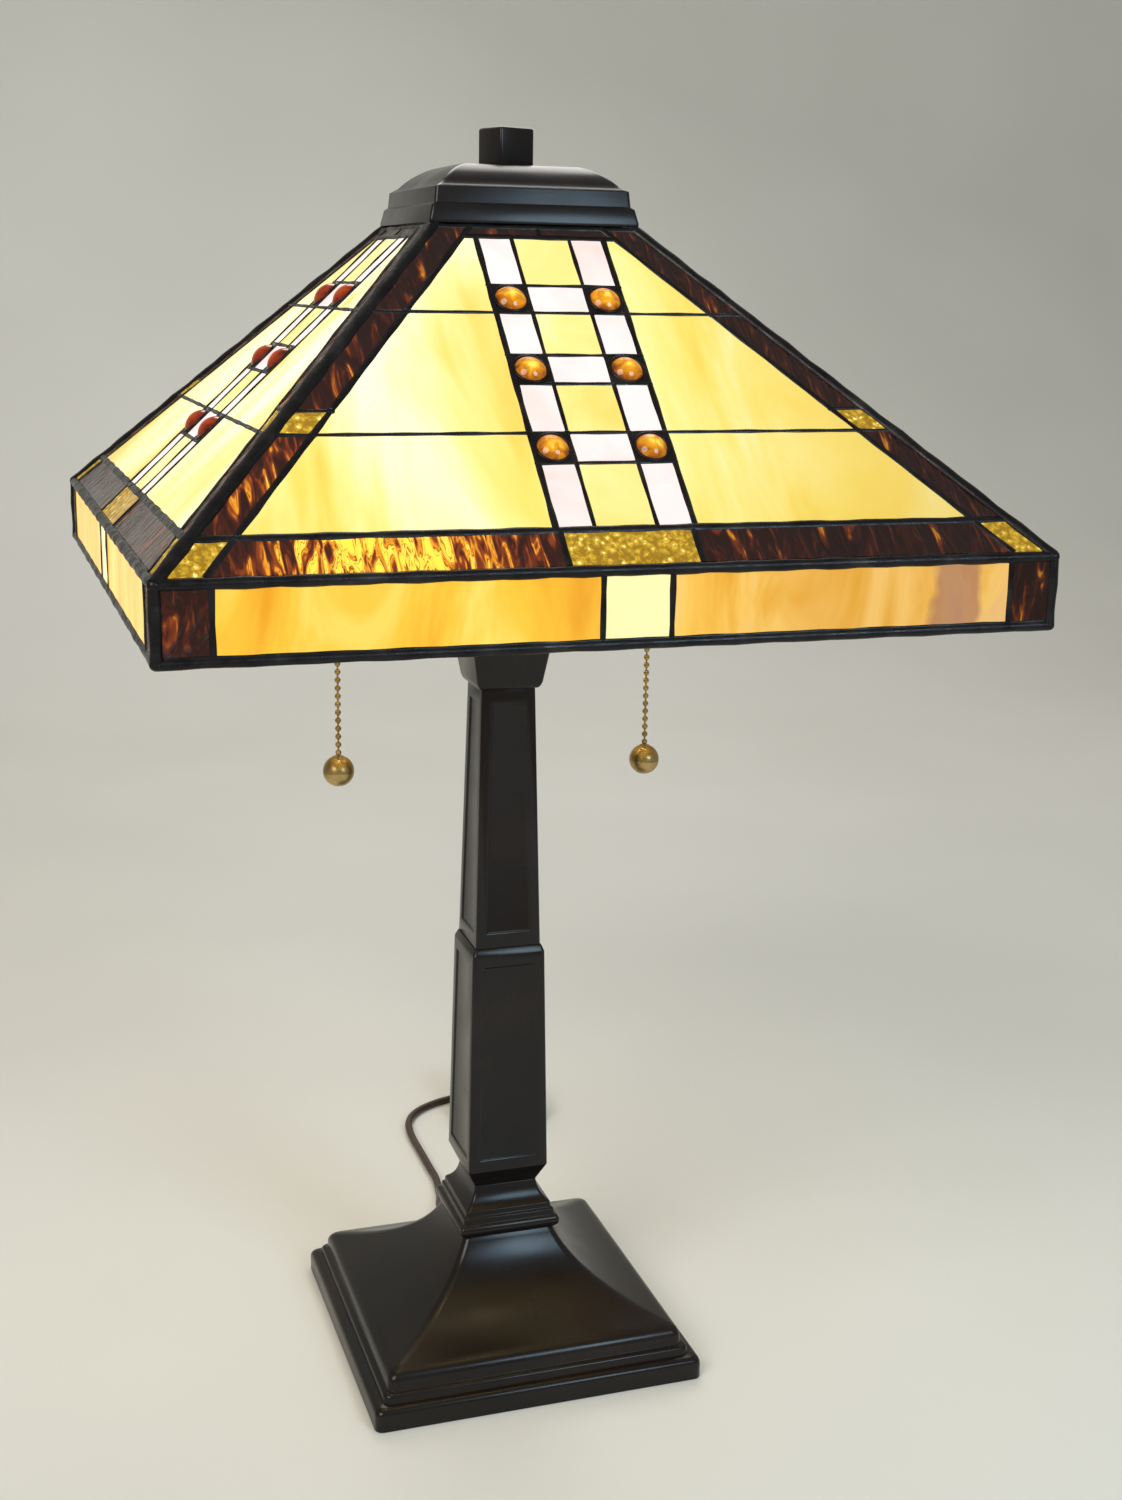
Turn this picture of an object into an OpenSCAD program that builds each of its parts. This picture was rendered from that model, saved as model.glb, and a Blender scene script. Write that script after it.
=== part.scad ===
// Table lamp with a four-sided leaded glass shade on a square column.
// Millimetres, +Z up, the front faces -Y, the origin is the middle of the base on the table.

/* [Base] */
// Width of the square plinth
base_w = 181; // [150:1:230]
// Height of the base casting, up to the foot of the column
base_h = 68; // [58:1:85]
// Height of the moulded plinth edge, below the curved top
plinth_h = 27; // [25:0.5:32]
// Wall of the base casting
base_wall = 4.2; // [3:0.1:6]
// Thickness of the felt pad
felt_t = 2; // [1:0.5:3]
// Thickness of the iron weight in the base
weight_t = 12; // [8:1:14]

/* [Column] */
// Half width where the foot meets the base
foot_half = 26; // [22:0.5:32]
// Height of the stepped foot
foot_h = 26; // [20:1:34]
// Half width of the neck above the foot
neck_half = 17.5; // [14:0.5:20]
// Height of the lower column
lower_h = 138; // [90:1:180]
// Half width of the lower column at its bottom
lower_half = 22.5; // [20:0.5:27]
// Height of the upper column
upper_h = 141; // [90:1:180]
// Half width of the upper column at its bottom
upper_half = 18; // [16:0.5:21]
// Half width of the upper column at its top
upper_top_half = 14.5; // [12:0.5:18]
// Height of the flared capital
capital_h = 29; // [20:1:36]
// Half width of the capital at its top
capital_half = 22; // [19:0.5:26]
// Wall of the column castings
column_wall = 3.4; // [2.5:0.1:4]
// Depth of the recessed panels
panel_depth = 0.9; // [0.4:0.1:1.2]
// Width of the frame around a recessed panel
panel_frame = 4; // [3:0.5:6]

/* [Rod and cluster] */
// Outer diameter of the threaded pipes
pipe_d = 9.6; // [9:0.1:11]
// Bore of the threaded pipes
pipe_bore = 6.6; // [6:0.1:7]
// Gap around a pipe where it passes through a casting
pipe_gap = 0.15; // [0.05:0.05:0.3]
// Radius of the round cluster body
cluster_r = 20; // [17:0.5:22]
// Height of the cluster body
cluster_h = 20; // [18:1:26]
// Distance of each socket from the middle of the lamp
socket_x = 67; // [60:1:76]
// Length of the riser from the cluster to the shade's seat
riser_h = 183; // [168:1:220]

/* [Sockets and bulbs] */
// Outer radius of the socket shell
socket_r = 16.5; // [16.2:0.1:18]
// Height of the socket's cap
socket_cap_h = 16; // [14:1:20]
// Height of the socket's shell
socket_shell_h = 36; // [34:1:40]
// Radius of the bulb's screw base
screw_r = 13.1; // [13:0.05:13.3]
// Running clearance between bulb base and screw shell
screw_gap = 0.06; // [0.02:0.01:0.1]
// Largest diameter of the bulb
bulb_d = 60; // [45:1:64]
// Height of the bulb's glass
bulb_h = 76; // [66:1:84]

/* [Pull chains] */
// How far a chain hangs outside its socket's shell
chain_out = 4.5; // [4.2:0.1:7]
// Angle by which the chains are turned to the back
chain_turn = 28.4; // [0:0.2:45]
// Diameter of a bead
bead_d = 3.2; // [2.4:0.1:3.6]
// Distance from bead to bead
bead_pitch = 4.3; // [4:0.1:4.8]
// Number of beads on the left chain
left_beads = 21; // [12:1:24]
// Number of beads on the right chain
right_beads = 22; // [12:1:24]
// Diameter of the brass ball
ball_d = 16.5; // [12:0.5:20]

/* [Shade] */
// Width of the shade between the middles of opposite skirts
shade_w = 400; // [330:1:480]
// Width of the shade at its top, between the middles of the glass
shade_top_w = 97; // [94:1:110]
// Height of the sloping sides
slope_h = 143; // [119:1:172]
// Height of the upright skirt
skirt_h = 34; // [26:1:44]
// Thickness of the lead net
lead_t = 4.2; // [3.6:0.1:5]
// Thickness of the glass
glass_t = 2.8; // [2:0.1:3]
// Width of a lead line as it is seen
line_w = 2.8; // [2.2:0.1:4]
// How far the lead laps over the edge of the glass
lead_lap = 1; // [0.5:0.1:1.1]
// Radius of the solder bead on a ridge
ridge_r = 3; // [2.6:0.1:4]
// Radius of the bead on the lower rim
rim_r = 2.6; // [2.2:0.1:3.5]

/* [Glass pattern] */
// Half width of the band of tiles
band_half = 31.5; // [30:0.5:36]
// Half width of the middle column of tiles
band_inner = 14.2; // [10:0.1:16]
// Width of the brown border along a ridge
border_w = 18.5; // [15:0.5:24]
// Height of the brown strip under the cap
top_strip = 10.5; // [9:0.5:14]
// Height of the strip above the skirt
low_strip = 19.3; // [16:0.1:24]
// Length of the first row of tiles
tile_1 = 32; // [26:0.5:36]
// Length of the second row of tiles
tile_2 = 26.5; // [22:0.5:30]
// Length of the third row of tiles
tile_3 = 29; // [22:0.5:32]
// Height of a row with jewels
jewel_row = 17.4; // [17:0.1:20]
// Radius of a jewel where the lead holds it
jewel_r = 8.2; // [7:0.1:8.4]
// Height of a jewel's dome
jewel_rise = 4.2; // [2:0.1:6]
// Height of the gold accent in the border
accent_h = 13.5; // [10:0.5:18]
// Half width of the gold piece in the middle of the low strip
gold_half = 30; // [24:0.5:40]
// Half width of the cream piece in the middle of the skirt
skirt_mid = 15.5; // [12:0.5:24]
// Width of the brown piece at each end of the skirt
skirt_end = 22; // [16:0.5:30]

/* [Cap and finial] */
// Height of the square cap
cap_h = 28; // [24:1:34]
// Half width of the cap at its bottom
cap_half = 52; // [51:0.5:58]
// Wall of the cap
cap_wall = 3; // [2:0.5:4]
// Width of the square finial block
finial_w = 20; // [16:0.5:26]
// Height of the finial block
finial_h = 19; // [14:0.5:26]
// Angle at which the finial block stands
finial_turn = 18; // [0:1:45]

/* [Cord] */
// Diameter of the cord
cord_d = 5; // [4.8:0.1:5.2]

/* [Hidden] */

$fn = 48;
eps = 0.01;
bronze = [0.13, 0.08, 0.06];
dark_lead = [0.07, 0.06, 0.06];
brass = [0.72, 0.55, 0.25];
steel = [0.6, 0.6, 0.62];

// Heights of the stack, from the table up
foot_z = base_h;
lower_z = foot_z + foot_h;
upper_z = lower_z + lower_h;
capital_z = upper_z + upper_h;
cluster_z = capital_z + capital_h;
arm_z = cluster_z + cluster_h / 2;
riser_z = cluster_z + cluster_h;
seat_z = riser_z + riser_h;
knee_z = seat_z - slope_h;
rim_z = knee_z - skirt_h;
finial_z = seat_z + cap_h;

washer_t = 2;
nut_t = 7;
under_top_z = base_h - base_wall;
cord_r = cord_d / 2;
cord_exit_z = 7;
bushing_r = 4.2;
bushing_end = 25.5;       // how far the strain relief stands out of the base
pipe_r = pipe_d / 2;
pipe_hole_r = pipe_r + pipe_gap;
turn_gap = 0.05;          // running clearance where a piece turns on the riser
elbow_r = 8;              // bend of a cluster arm
arm_r = 5;
arm_bore_r = 3.2;
socket_z = arm_z + elbow_r;
shell_z = socket_z + socket_cap_h;
shell_top_z = shell_z + socket_shell_h;
shell_wall = 0.8;
core_top_z = shell_z + 13;
bulb_z = shell_top_z + 2;
liner_r = socket_r - shell_wall;
liner_t = 0.6;
core_r = screw_r + 1.1;
bell_z = shell_z + 5;
bell_tube_r = 3.4;
chain_reach = socket_r + chain_out;
link_z = shell_z - 2;     // top of the hanging link, at the lip of the bell mouth
link_h = 7.5;
swing_z = link_z - link_h;
bead_r = bead_d / 2;
wire_r = 0.5;
first_bead = 2.4;         // from the swing point down to the first bead
pin_r = 0.5;              // pin that the chain's eye hangs on
pin_gap = 0.05;
eye_w = 1.4;
plate_t = 2;
seat_nut_h = 6;
rim_mid_z = rim_z + rim_r;

// The sloping side in its own plane: x to the side, s down the slope
top_half = shade_top_w / 2;
rim_half = shade_w / 2;
slope_a = atan2(slope_h, rim_half - top_half);
slope_len = norm([slope_h, rim_half - top_half]);
spread = (rim_half - top_half) / slope_len;
ridge_gap = 2;
seat_gap = 3;
knee_gap = 2;
low_s = slope_len - knee_gap;
band_s = low_s - low_strip;
rows = [top_strip,
        top_strip + tile_1,
        top_strip + tile_1 + jewel_row,
        top_strip + tile_1 + jewel_row + tile_2,
        top_strip + tile_1 + 2 * jewel_row + tile_2,
        top_strip + tile_1 + 2 * jewel_row + tile_2 + tile_3,
        top_strip + tile_1 + 3 * jewel_row + tile_2 + tile_3,
        band_s];
side_1 = rows[2];
side_2 = rows[5];
ridge_line = [top_half - ridge_gap * sqrt(1 + spread * spread), spread];
border_line = [top_half - border_w, spread];
band_line = [band_half, 0];
inner_line = [band_inner, 0];
skirt_line = [rim_half - skirt_end, 0];
skirt_top = 1.2;
skirt_low = skirt_h - 2 * rim_r + line_w / 2 - 0.6;

// The cord on the table: from the strain relief to the coil, and from the coil to the plug
cord_route = [[0, 116, 7], [0, 122, 7], [1, 130, 6], [3, 139, 4.4], [6, 149, 3], [8, 160, 2.6],
              [10, 175, 2.6], [10, 190, 2.6], [10, 206, 2.6], [10, 222, 2.6], [10, 238, 2.6],
              [11, 252, 2.6], [14, 266, 2.6], [22, 279, 2.6], [34, 288, 2.6], [48, 294, 2.6],
              [63, 296.5, 2.6], [80, 297, 2.6]];
tail_route = [[80, 287, 12.8], [88, 286, 13.8], [95, 282, 15.4], [101, 276, 17.1], [103, 268, 18],
              [103, 259, 18], [99, 251, 18], [92, 245, 18], [83, 242.5, 18], [74, 243, 18],
              [66, 247, 18.3], [60, 254, 19.2], [58, 263, 20.6], [59, 272, 21.9]];
coil_at = [80, 266];
coil_in_r = 18.5;
coil_out_r = 33.5;
coil_h = 15.4;
plug_turn = 74;
plug_len = 24;
plug_half = 10.5;
plug_t = 13;
relief = 9;

// ---- square mouldings ----

// A square turned piece: the outline [half width, height] is the same on all four sides
module mitred(outline) {
  side = concat(outline, [for (i = [len(outline) - 1:-1:0]) [-outline[i][0], outline[i][1]]]);
  reach = max([for (p = outline) p[0]]) + 1;
  intersection() {
    rotate([90, 0, 0]) linear_extrude(2 * reach, center = true) polygon(side);
    rotate([90, 0, 90]) linear_extrude(2 * reach, center = true) polygon(side);
  }
}

// Points of a curve from a to c that leans towards b
function bend(a, b, c, n) =
  [for (i = [0:n]) let (t = i / n) (1 - t) * (1 - t) * a + 2 * t * (1 - t) * b + t * t * c];

// A shallow panel let into each side of a tapered square column
module panel_recess(half_0, z_0, half_1, z_1, frame_0, frame_1) {
  lean = atan2(half_0 - half_1, z_1 - z_0);
  high = norm([half_0 - half_1, z_1 - z_0]);
  at_0 = half_0 - (half_0 - half_1) * frame_0 / high - panel_frame;
  at_1 = half_1 + (half_0 - half_1) * frame_1 / high - panel_frame;
  for (turn = [0:90:270])
    rotate(turn) translate([0, -half_0, z_0]) rotate([90 - lean, 0, 0])
      translate([0, 0, -panel_depth]) linear_extrude(panel_depth + 2)
        polygon([[-at_0, frame_0], [at_0, frame_0], [at_1, high - frame_1], [-at_1, high - frame_1]]);
}

module base_shell() {
  half = base_w / 2;
  in_half = half - 12.5;
  cavity_half = half - 10.5;
  ledge_z = felt_t + weight_t;
  top_curve = bend([in_half, plinth_h], [(in_half + foot_half) / 2 - 15.5, plinth_h + (base_h - plinth_h) / 3],
                   [foot_half - 0.4, base_h], 14);
  under = bend([in_half - 6, plinth_h - base_wall - 1.5],
               [(in_half + foot_half) / 2 - 19.5, plinth_h - base_wall + (base_h - plinth_h) / 3 - 1],
               [foot_half - 0.4 - base_wall, base_h - base_wall], 8);
  color(bronze) difference() {
    mitred(concat([[half, 0], [half, 8]], bend([half, 8], [half, 12.5], [half - 4.5, 12.5], 5),
                  [[half - 5.5, 12.8], [half - 5.7, 15.5]],
                  bend([half - 5.7, 15.5], [half - 6, 17], [half - 7.5, 17.2], 3),
                  [[half - 8.6, 17.6], [half - 8.8, 21.5]],
                  bend([half - 8.8, 21.5], [half - 9.2, 25.4], [in_half, plinth_h], 5), top_curve));
    mitred(concat([[cavity_half, -1], [cavity_half, ledge_z], [in_half - 6, ledge_z]], under));
    translate([0, 0, base_h / 2]) cylinder(h = base_h, r = pipe_hole_r);
    translate([0, half - 15, cord_exit_z]) rotate([-90, 0, 0]) cylinder(h = 20, r = bushing_r);
  }
}

module base_weight() {
  half = base_w / 2 - 11;
  color([0.25, 0.25, 0.26]) difference() {
    translate([-half, -half, felt_t]) cube([2 * half, 2 * half, weight_t]);
    translate([0, 0, 0]) cylinder(h = 40, r = 16);
    translate([-5, 0, 0]) cube([10, base_w, felt_t + weight_t - 2]);
  }
}

module base_felt() {
  half = base_w / 2 - 11;
  color([0.1, 0.14, 0.1]) translate([-half, -half, 0]) cube([2 * half, 2 * half, felt_t]);
}

module column_foot() {
  step = foot_half - neck_half;
  color(bronze) difference() {
    mitred(concat(
      [[foot_half, foot_z], [foot_half + 1.8, foot_z + 2]],
      bend([foot_half + 1.8, foot_z + 2], [foot_half + 3.2, foot_z + 4.4], [foot_half + 1.6, foot_z + 6.8], 4),
      [[foot_half, foot_z + 7.4], [foot_half - 0.3, foot_z + 10.5], [foot_half - 1.6, foot_z + 11.4],
       [foot_half - 1.9, foot_z + 14.2], [foot_half - 3.2, foot_z + 15.2]],
      bend([foot_half - 3.2, foot_z + 15.2], [neck_half + 0.12 * step, foot_z + 0.72 * foot_h],
           [neck_half, foot_z + foot_h], 6)));
    translate([0, 0, foot_z - 1]) cylinder(h = foot_h + 2, r = pipe_hole_r);
  }
}

module lower_column() {
  chamfer = 10.5;
  shoulder = 3.6;
  top = upper_half + 2;
  z_1 = upper_z - shoulder;
  color(bronze) difference() {
    mitred([[neck_half, lower_z], [lower_half, lower_z + chamfer], [top, z_1], [upper_half + 0.5, upper_z]]);
    mitred([[lower_half - column_wall - 2, lower_z + chamfer + 3], [top - column_wall, upper_z - 10]]);
    panel_recess(lower_half, lower_z + chamfer, top, z_1, 6, 6);
    translate([0, 0, lower_z - 1]) cylinder(h = lower_h + 2, r = pipe_hole_r);
  }
}

module upper_column() {
  color(bronze) difference() {
    mitred([[upper_half, upper_z], [upper_top_half, capital_z]]);
    mitred([[upper_half - column_wall, upper_z + 8], [upper_top_half - column_wall, capital_z - 8]]);
    panel_recess(upper_half, upper_z, upper_top_half, capital_z, 8, 7);
    translate([0, 0, upper_z - 1]) cylinder(h = upper_h + 2, r = pipe_hole_r);
  }
}

module column_capital() {
  low = upper_top_half + 0.3;
  color(bronze) difference() {
    mitred(concat([[low, capital_z]],
                  bend([low + 1.2, capital_z], [low + 2.8, capital_z + 1.6], [low + 3.2, capital_z + 5], 4),
                  [[capital_half - 0.6, cluster_z - 4], [capital_half, cluster_z - 3], [capital_half, cluster_z]]));
    translate([0, 0, capital_z - 1]) cylinder(h = capital_h + 2, r = pipe_hole_r);
  }
}

// ---- rods, cluster and cord inside the stand ----

module tube(z_0, z_1, r_out, r_in) {
  difference() {
    translate([0, 0, z_0]) cylinder(h = z_1 - z_0, r = r_out);
    translate([0, 0, z_0 - 1]) cylinder(h = z_1 - z_0 + 2, r = r_in);
  }
}

module center_pipe() {
  color(steel) tube(under_top_z - washer_t - nut_t - 4, cluster_z + 5, pipe_r, pipe_bore / 2);
}

module bottom_washer() {
  color(steel) tube(under_top_z - washer_t, under_top_z, 13, pipe_hole_r);
}

module bottom_nut() {
  nut_z = under_top_z - washer_t - nut_t;
  color(steel) difference() {
    translate([0, 0, nut_z]) cylinder(h = nut_t, r = 8.6, $fn = 6);
    translate([0, 0, nut_z - 1]) cylinder(h = nut_t + 2, r = pipe_r);
  }
}

module cord_bushing() {
  half = base_w / 2;
  color([0.09, 0.07, 0.06]) translate([0, half, cord_exit_z]) rotate([-90, 0, 0]) difference() {
    union() {
      translate([0, 0, -10.4]) cylinder(h = 10.4 + eps, r = bushing_r);
      cylinder(h = 2.5, r = 6.2);
      translate([0, 0, 2.5 - eps]) cylinder(h = bushing_end - 2.5 + eps, r1 = 5, r2 = cord_r + 0.7);
    }
    translate([0, 0, -12]) cylinder(h = 60, r = cord_r);
  }
}

module inner_cord() {
  turn_r = 12;
  color([0.12, 0.08, 0.06]) {
    translate([0, turn_r, cord_exit_z]) rotate([-90, 0, 0])
      cylinder(h = base_w / 2 + bushing_end - turn_r, r = cord_r);
    translate([0, turn_r, cord_exit_z + turn_r]) rotate([90, 0, -90])
      rotate([0, 0, 270]) rotate_extrude(angle = 90) translate([turn_r, 0]) circle(r = cord_r);
    translate([0, 0, cord_exit_z + turn_r]) cylinder(h = cluster_z + 8 - cord_exit_z - turn_r, r = cord_r);
  }
}

module cluster_body() {
  wall = 2;
  color(bronze) difference() {
    translate([0, 0, cluster_z]) cylinder(h = cluster_h, r = cluster_r);
    translate([0, 0, cluster_z + wall]) cylinder(h = cluster_h - 2 * wall, r = cluster_r - wall);
    translate([0, 0, cluster_z - 1]) cylinder(h = cluster_h + 2, r = pipe_r);
    translate([-cluster_r - 1, 0, arm_z]) rotate([0, 90, 0]) cylinder(h = 2 * cluster_r + 2, r = arm_r);
  }
}

// One arm, from the cluster out and up into a socket cap
module arm(r, inside) {
  level_end = socket_x - elbow_r;
  translate([cluster_r - 3 - inside, 0, arm_z]) rotate([0, 90, 0])
    cylinder(h = level_end - cluster_r + 3 + inside, r = r);
  translate([level_end, 0, arm_z + elbow_r]) rotate([90, 0, 0])
    rotate([0, 0, 270]) rotate_extrude(angle = 90) translate([elbow_r, 0]) circle(r = r);
  translate([socket_x, 0, arm_z + elbow_r]) cylinder(h = 7 + inside, r = r);
}

module bored_arm() {
  color(bronze) difference() {
    arm(arm_r, 0);
    arm(arm_bore_r, 1);
  }
}
module left_arm() { mirror([1, 0, 0]) bored_arm(); }
module right_arm() { bored_arm(); }

module riser_stem() {
  color(bronze) tube(riser_z - 5, finial_z + finial_h - 6, pipe_r, pipe_bore / 2);
}

module seat_nut() {
  top = seat_z - plate_t;
  color(brass) difference() {
    union() {
      translate([0, 0, top - seat_nut_h]) cylinder(h = seat_nut_h - 2, r = 8.6, $fn = 6);
      translate([0, 0, top - 2]) cylinder(h = 2, r = 12);
    }
    translate([0, 0, top - seat_nut_h - 1]) cylinder(h = seat_nut_h + 2, r = pipe_r);
  }
}

// ---- sockets, one drawn for the right side and mirrored for the left ----

module at_socket(side) {
  if (side < 0) mirror([1, 0, 0]) translate([socket_x, 0, 0]) children();
  else translate([socket_x, 0, 0]) children();
}

module socket_cap(side) {
  color(brass) at_socket(side) difference() {
    rotate_extrude() polygon(concat(
      [[0, socket_z], [arm_r + 2.2, socket_z], [arm_r + 2.2, socket_z + 4]],
      bend([arm_r + 2.8, socket_z + 5], [socket_r - 1, socket_z + 6], [socket_r, shell_z - 3], 6),
      [[socket_r, shell_z], [0, shell_z]]));
    rotate_extrude() polygon(concat(
      [[0, socket_z + 7]],
      bend([arm_r + 1.5, socket_z + 7], [socket_r - 3, socket_z + 8], [socket_r - 1.2, shell_z - 2], 5),
      [[socket_r - 1.2, shell_z + 1], [0, shell_z + 1]]));
    translate([0, 0, socket_z - 1]) cylinder(h = 12, r = arm_r);
  }
}
module left_socket_cap() { socket_cap(-1); }
module right_socket_cap() { socket_cap(1); }

module socket_shell(side) {
  color(brass) at_socket(side) difference() {
    tube(shell_z, shell_top_z, socket_r, socket_r - shell_wall);
    rotate(chain_turn) translate([0, 0, bell_z]) rotate([0, 90, 0]) cylinder(h = socket_r + 4, r = bell_tube_r);
  }
}
module left_socket_shell() { socket_shell(-1); }
module right_socket_shell() { socket_shell(1); }

module both_sockets() { for (side = [-1, 1]) at_socket(side) children(); }

module socket_liners() {
  color([0.45, 0.36, 0.25]) both_sockets() tube(core_top_z, shell_top_z - 1, liner_r, liner_r - liner_t);
}

module switch_cores() {
  color([0.1, 0.08, 0.07]) both_sockets() difference() {
    union() {
      translate([0, 0, shell_z + 0.5]) cylinder(h = core_top_z - shell_z - 0.5, r = core_r);
      rotate(chain_turn) translate([0, -2, bell_z - 2]) cube([core_r + 1, 4, 4]);
    }
    translate([0, 0, core_top_z - 4]) cylinder(h = 5, r = 4);
  }
}

module screw_shells() {
  color(brass) both_sockets() tube(core_top_z, shell_top_z - 2, screw_r + screw_gap + 0.6, screw_r + screw_gap);
}

module center_contacts() {
  color(brass) both_sockets() translate([0, 0, core_top_z - 4]) cylinder(h = 4.6, r = 3.4);
}

// Spout that turns the chain down: a level tube with a flared mouth below
module bell_mouths() {
  color(brass) both_sockets() rotate(chain_turn) difference() {
    union() {
      translate([core_r + 1, 0, bell_z]) rotate([0, 90, 0])
        cylinder(h = chain_reach - core_r - 1, r = bell_tube_r);
      translate([chain_reach, 0, bell_z]) sphere(r = 4);
      translate([chain_reach, 0, link_z + 0.5]) cylinder(h = bell_z - link_z - 0.5, r1 = 4.2, r2 = 3);
    }
    translate([chain_reach, 0, link_z - 1]) cylinder(h = bell_z - link_z + 2.5, r = 2.2);
    translate([chain_reach, 0, link_z + 0.4]) cylinder(h = 2.2, r1 = 3.6, r2 = 2.1);
  }
}

// ---- bulbs ----

function bulb_outline(wall) = let (r = bulb_d / 2 - wall, neck = screw_r + 0.6 - wall, mid_z = bulb_z + bulb_h - bulb_d / 2)
  concat([[0, bulb_z + wall], [neck, bulb_z + wall]],
         bend([neck, bulb_z + 6], [neck + 3, bulb_z + 0.34 * bulb_h], [r * cos(24), mid_z - r * sin(24)], 7),
         [for (a = [-18:9:81]) [r * cos(a), mid_z + r * sin(a)]],
         [[0, mid_z + r]]);

module bulb_glass(side) {
  color([0.97, 0.95, 0.88]) at_socket(side) rotate_extrude() difference() {
    polygon(bulb_outline(0));
    polygon(bulb_outline(1));
  }
}
module left_bulb_glass() { bulb_glass(-1); }
module right_bulb_glass() { bulb_glass(1); }

module bulb_base(side) {
  tip_z = core_top_z + 0.9;
  color(steel) at_socket(side) {
    translate([0, 0, tip_z + 4]) cylinder(h = bulb_z - tip_z - 4, r = screw_r);
    translate([0, 0, tip_z + 1.5 - eps]) cylinder(h = 2.5 + 2 * eps, r1 = 6, r2 = screw_r - 1);
    translate([0, 0, tip_z]) cylinder(h = 1.5, r = 4.5);
  }
}
module left_bulb_base() { bulb_base(-1); }
module right_bulb_base() { bulb_base(1); }

// ---- pull chains ----

module at_chain(side) { at_socket(side) rotate(chain_turn) translate([chain_reach, 0, 0]) children(); }

// The swing point, with the pin's way along Y on both sides
module at_pin(side) { at_chain(side) rotate(-chain_turn) translate([0, 0, swing_z]) rotate([90, 0, 0]) children(); }

function beads(side) = side < 0 ? left_beads : right_beads;
function ball_z(side) = swing_z - first_bead - (beads(side) - 1) * bead_pitch - bead_r - ball_d / 2;

module pull_link(side) {
  fork = 1.5;       // from the pin up to the barrel
  cheek_r = 0.9;
  cheek_t = 0.6;
  color(brass) {
    at_chain(side) {
      translate([0, 0, swing_z + fork]) cylinder(h = link_h - fork, r = 1.9);
      translate([0, 0, link_z - eps]) cylinder(h = bell_z - link_z + 1, r = wire_r);
      translate([0, 0, link_z + 2.2]) sphere(r = bead_r);
    }
    at_pin(side) {
      cylinder(h = eye_w + 2 * cheek_t, r = pin_r, center = true);
      for (z = [eye_w / 2 + pin_gap, -eye_w / 2 - pin_gap - cheek_t]) translate([0, 0, z]) {
        cylinder(h = cheek_t, r = cheek_r);
        translate([-cheek_r, 0, 0]) cube([2 * cheek_r, fork + 0.1, cheek_t]);
      }
    }
  }
}
module left_pull_link() { pull_link(-1); }
module right_pull_link() { pull_link(1); }

module pull_chain(side) {
  last_z = swing_z - first_bead - (beads(side) - 1) * bead_pitch;
  wire_top = swing_z - pin_r - 0.2;
  color(brass) {
    at_chain(side) {
      for (i = [0:beads(side) - 1]) translate([0, 0, swing_z - first_bead - i * bead_pitch]) sphere(r = bead_r);
      translate([0, 0, last_z - bead_r]) cylinder(h = wire_top - last_z + bead_r, r = wire_r);
    }
    at_pin(side) difference() {
      cylinder(h = eye_w, r = 1.25, center = true);
      cylinder(h = eye_w + 1, r = pin_r + pin_gap, center = true);
    }
  }
}
module left_pull_chain() { pull_chain(-1); }
module right_pull_chain() { pull_chain(1); }

module pull_ball(side) {
  color(brass) at_chain(side) difference() {
    translate([0, 0, ball_z(side)]) sphere(r = ball_d / 2);
    translate([0, 0, ball_z(side) + ball_d / 2 - 0.2]) cylinder(h = 4, r = bead_r);
  }
}
module left_pull_ball() { pull_ball(-1); }
module right_pull_ball() { pull_ball(1); }

// ---- shade ----

// Puts a flat drawing on a side: x to the side, -y down, z outwards. Side 0 is the front.
module on_slope(side) {
  rotate(90 * side) translate([0, -top_half, seat_z]) rotate([slope_a, 0, 0]) children();
}
module on_skirt(side) {
  rotate(90 * side) translate([0, -rim_half, knee_z]) rotate([90, 0, 0]) children();
}

// Corners of one glass piece between two lines x = a + b * s, shrunk by gap all round
function pane(left, right, s_0, s_1, gap) =
  let (gl = gap * sqrt(1 + left[1] * left[1]), gr = gap * sqrt(1 + right[1] * right[1]),
       t = s_0 + gap, u = s_1 - gap)
  [[left[0] + left[1] * t + gl, -t], [right[0] + right[1] * t - gr, -t],
   [right[0] + right[1] * u - gr, -u], [left[0] + left[1] * u + gl, -u]];

function twin(line) = [-line[0], -line[1]];

// Glass pieces of a sloping side: [left line, right line, s from, s to]
function both(pieces) = concat(pieces, [for (p = pieces) [twin(p[1]), twin(p[0]), p[2], p[3]]]);
opal_cells = both([[band_line, border_line, top_strip, side_1], [band_line, border_line, side_1, side_2],
                   [band_line, border_line, side_2, band_s]]);
brown_cells = both([[border_line, ridge_line, seat_gap, side_1], [border_line, ridge_line, side_1, side_2 - accent_h],
                    [border_line, ridge_line, side_2, band_s], [[gold_half, 0], border_line, band_s, low_s],
                    [[0, 0], border_line, seat_gap, top_strip]]);
gold_cells = concat(both([[border_line, ridge_line, side_2 - accent_h, side_2],
                          [border_line, ridge_line, band_s, low_s]]),
                    [[[-gold_half, 0], [gold_half, 0], band_s, low_s]]);
white_cells = concat(both([for (i = [0, 2, 4, 6]) [inner_line, band_line, rows[i], rows[i + 1]]]),
                     [for (i = [1, 3, 5]) [twin(inner_line), inner_line, rows[i], rows[i + 1]]]);
cream_cells = [for (i = [0, 2, 4, 6]) [twin(inner_line), inner_line, rows[i], rows[i + 1]]];
slope_cells = concat(opal_cells, brown_cells, gold_cells, white_cells, cream_cells);
jewel_spots = [for (i = [1, 3, 5], x = [-1, 1]) [x * (band_inner + band_half) / 2, -(rows[i] + rows[i + 1]) / 2]];

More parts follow.
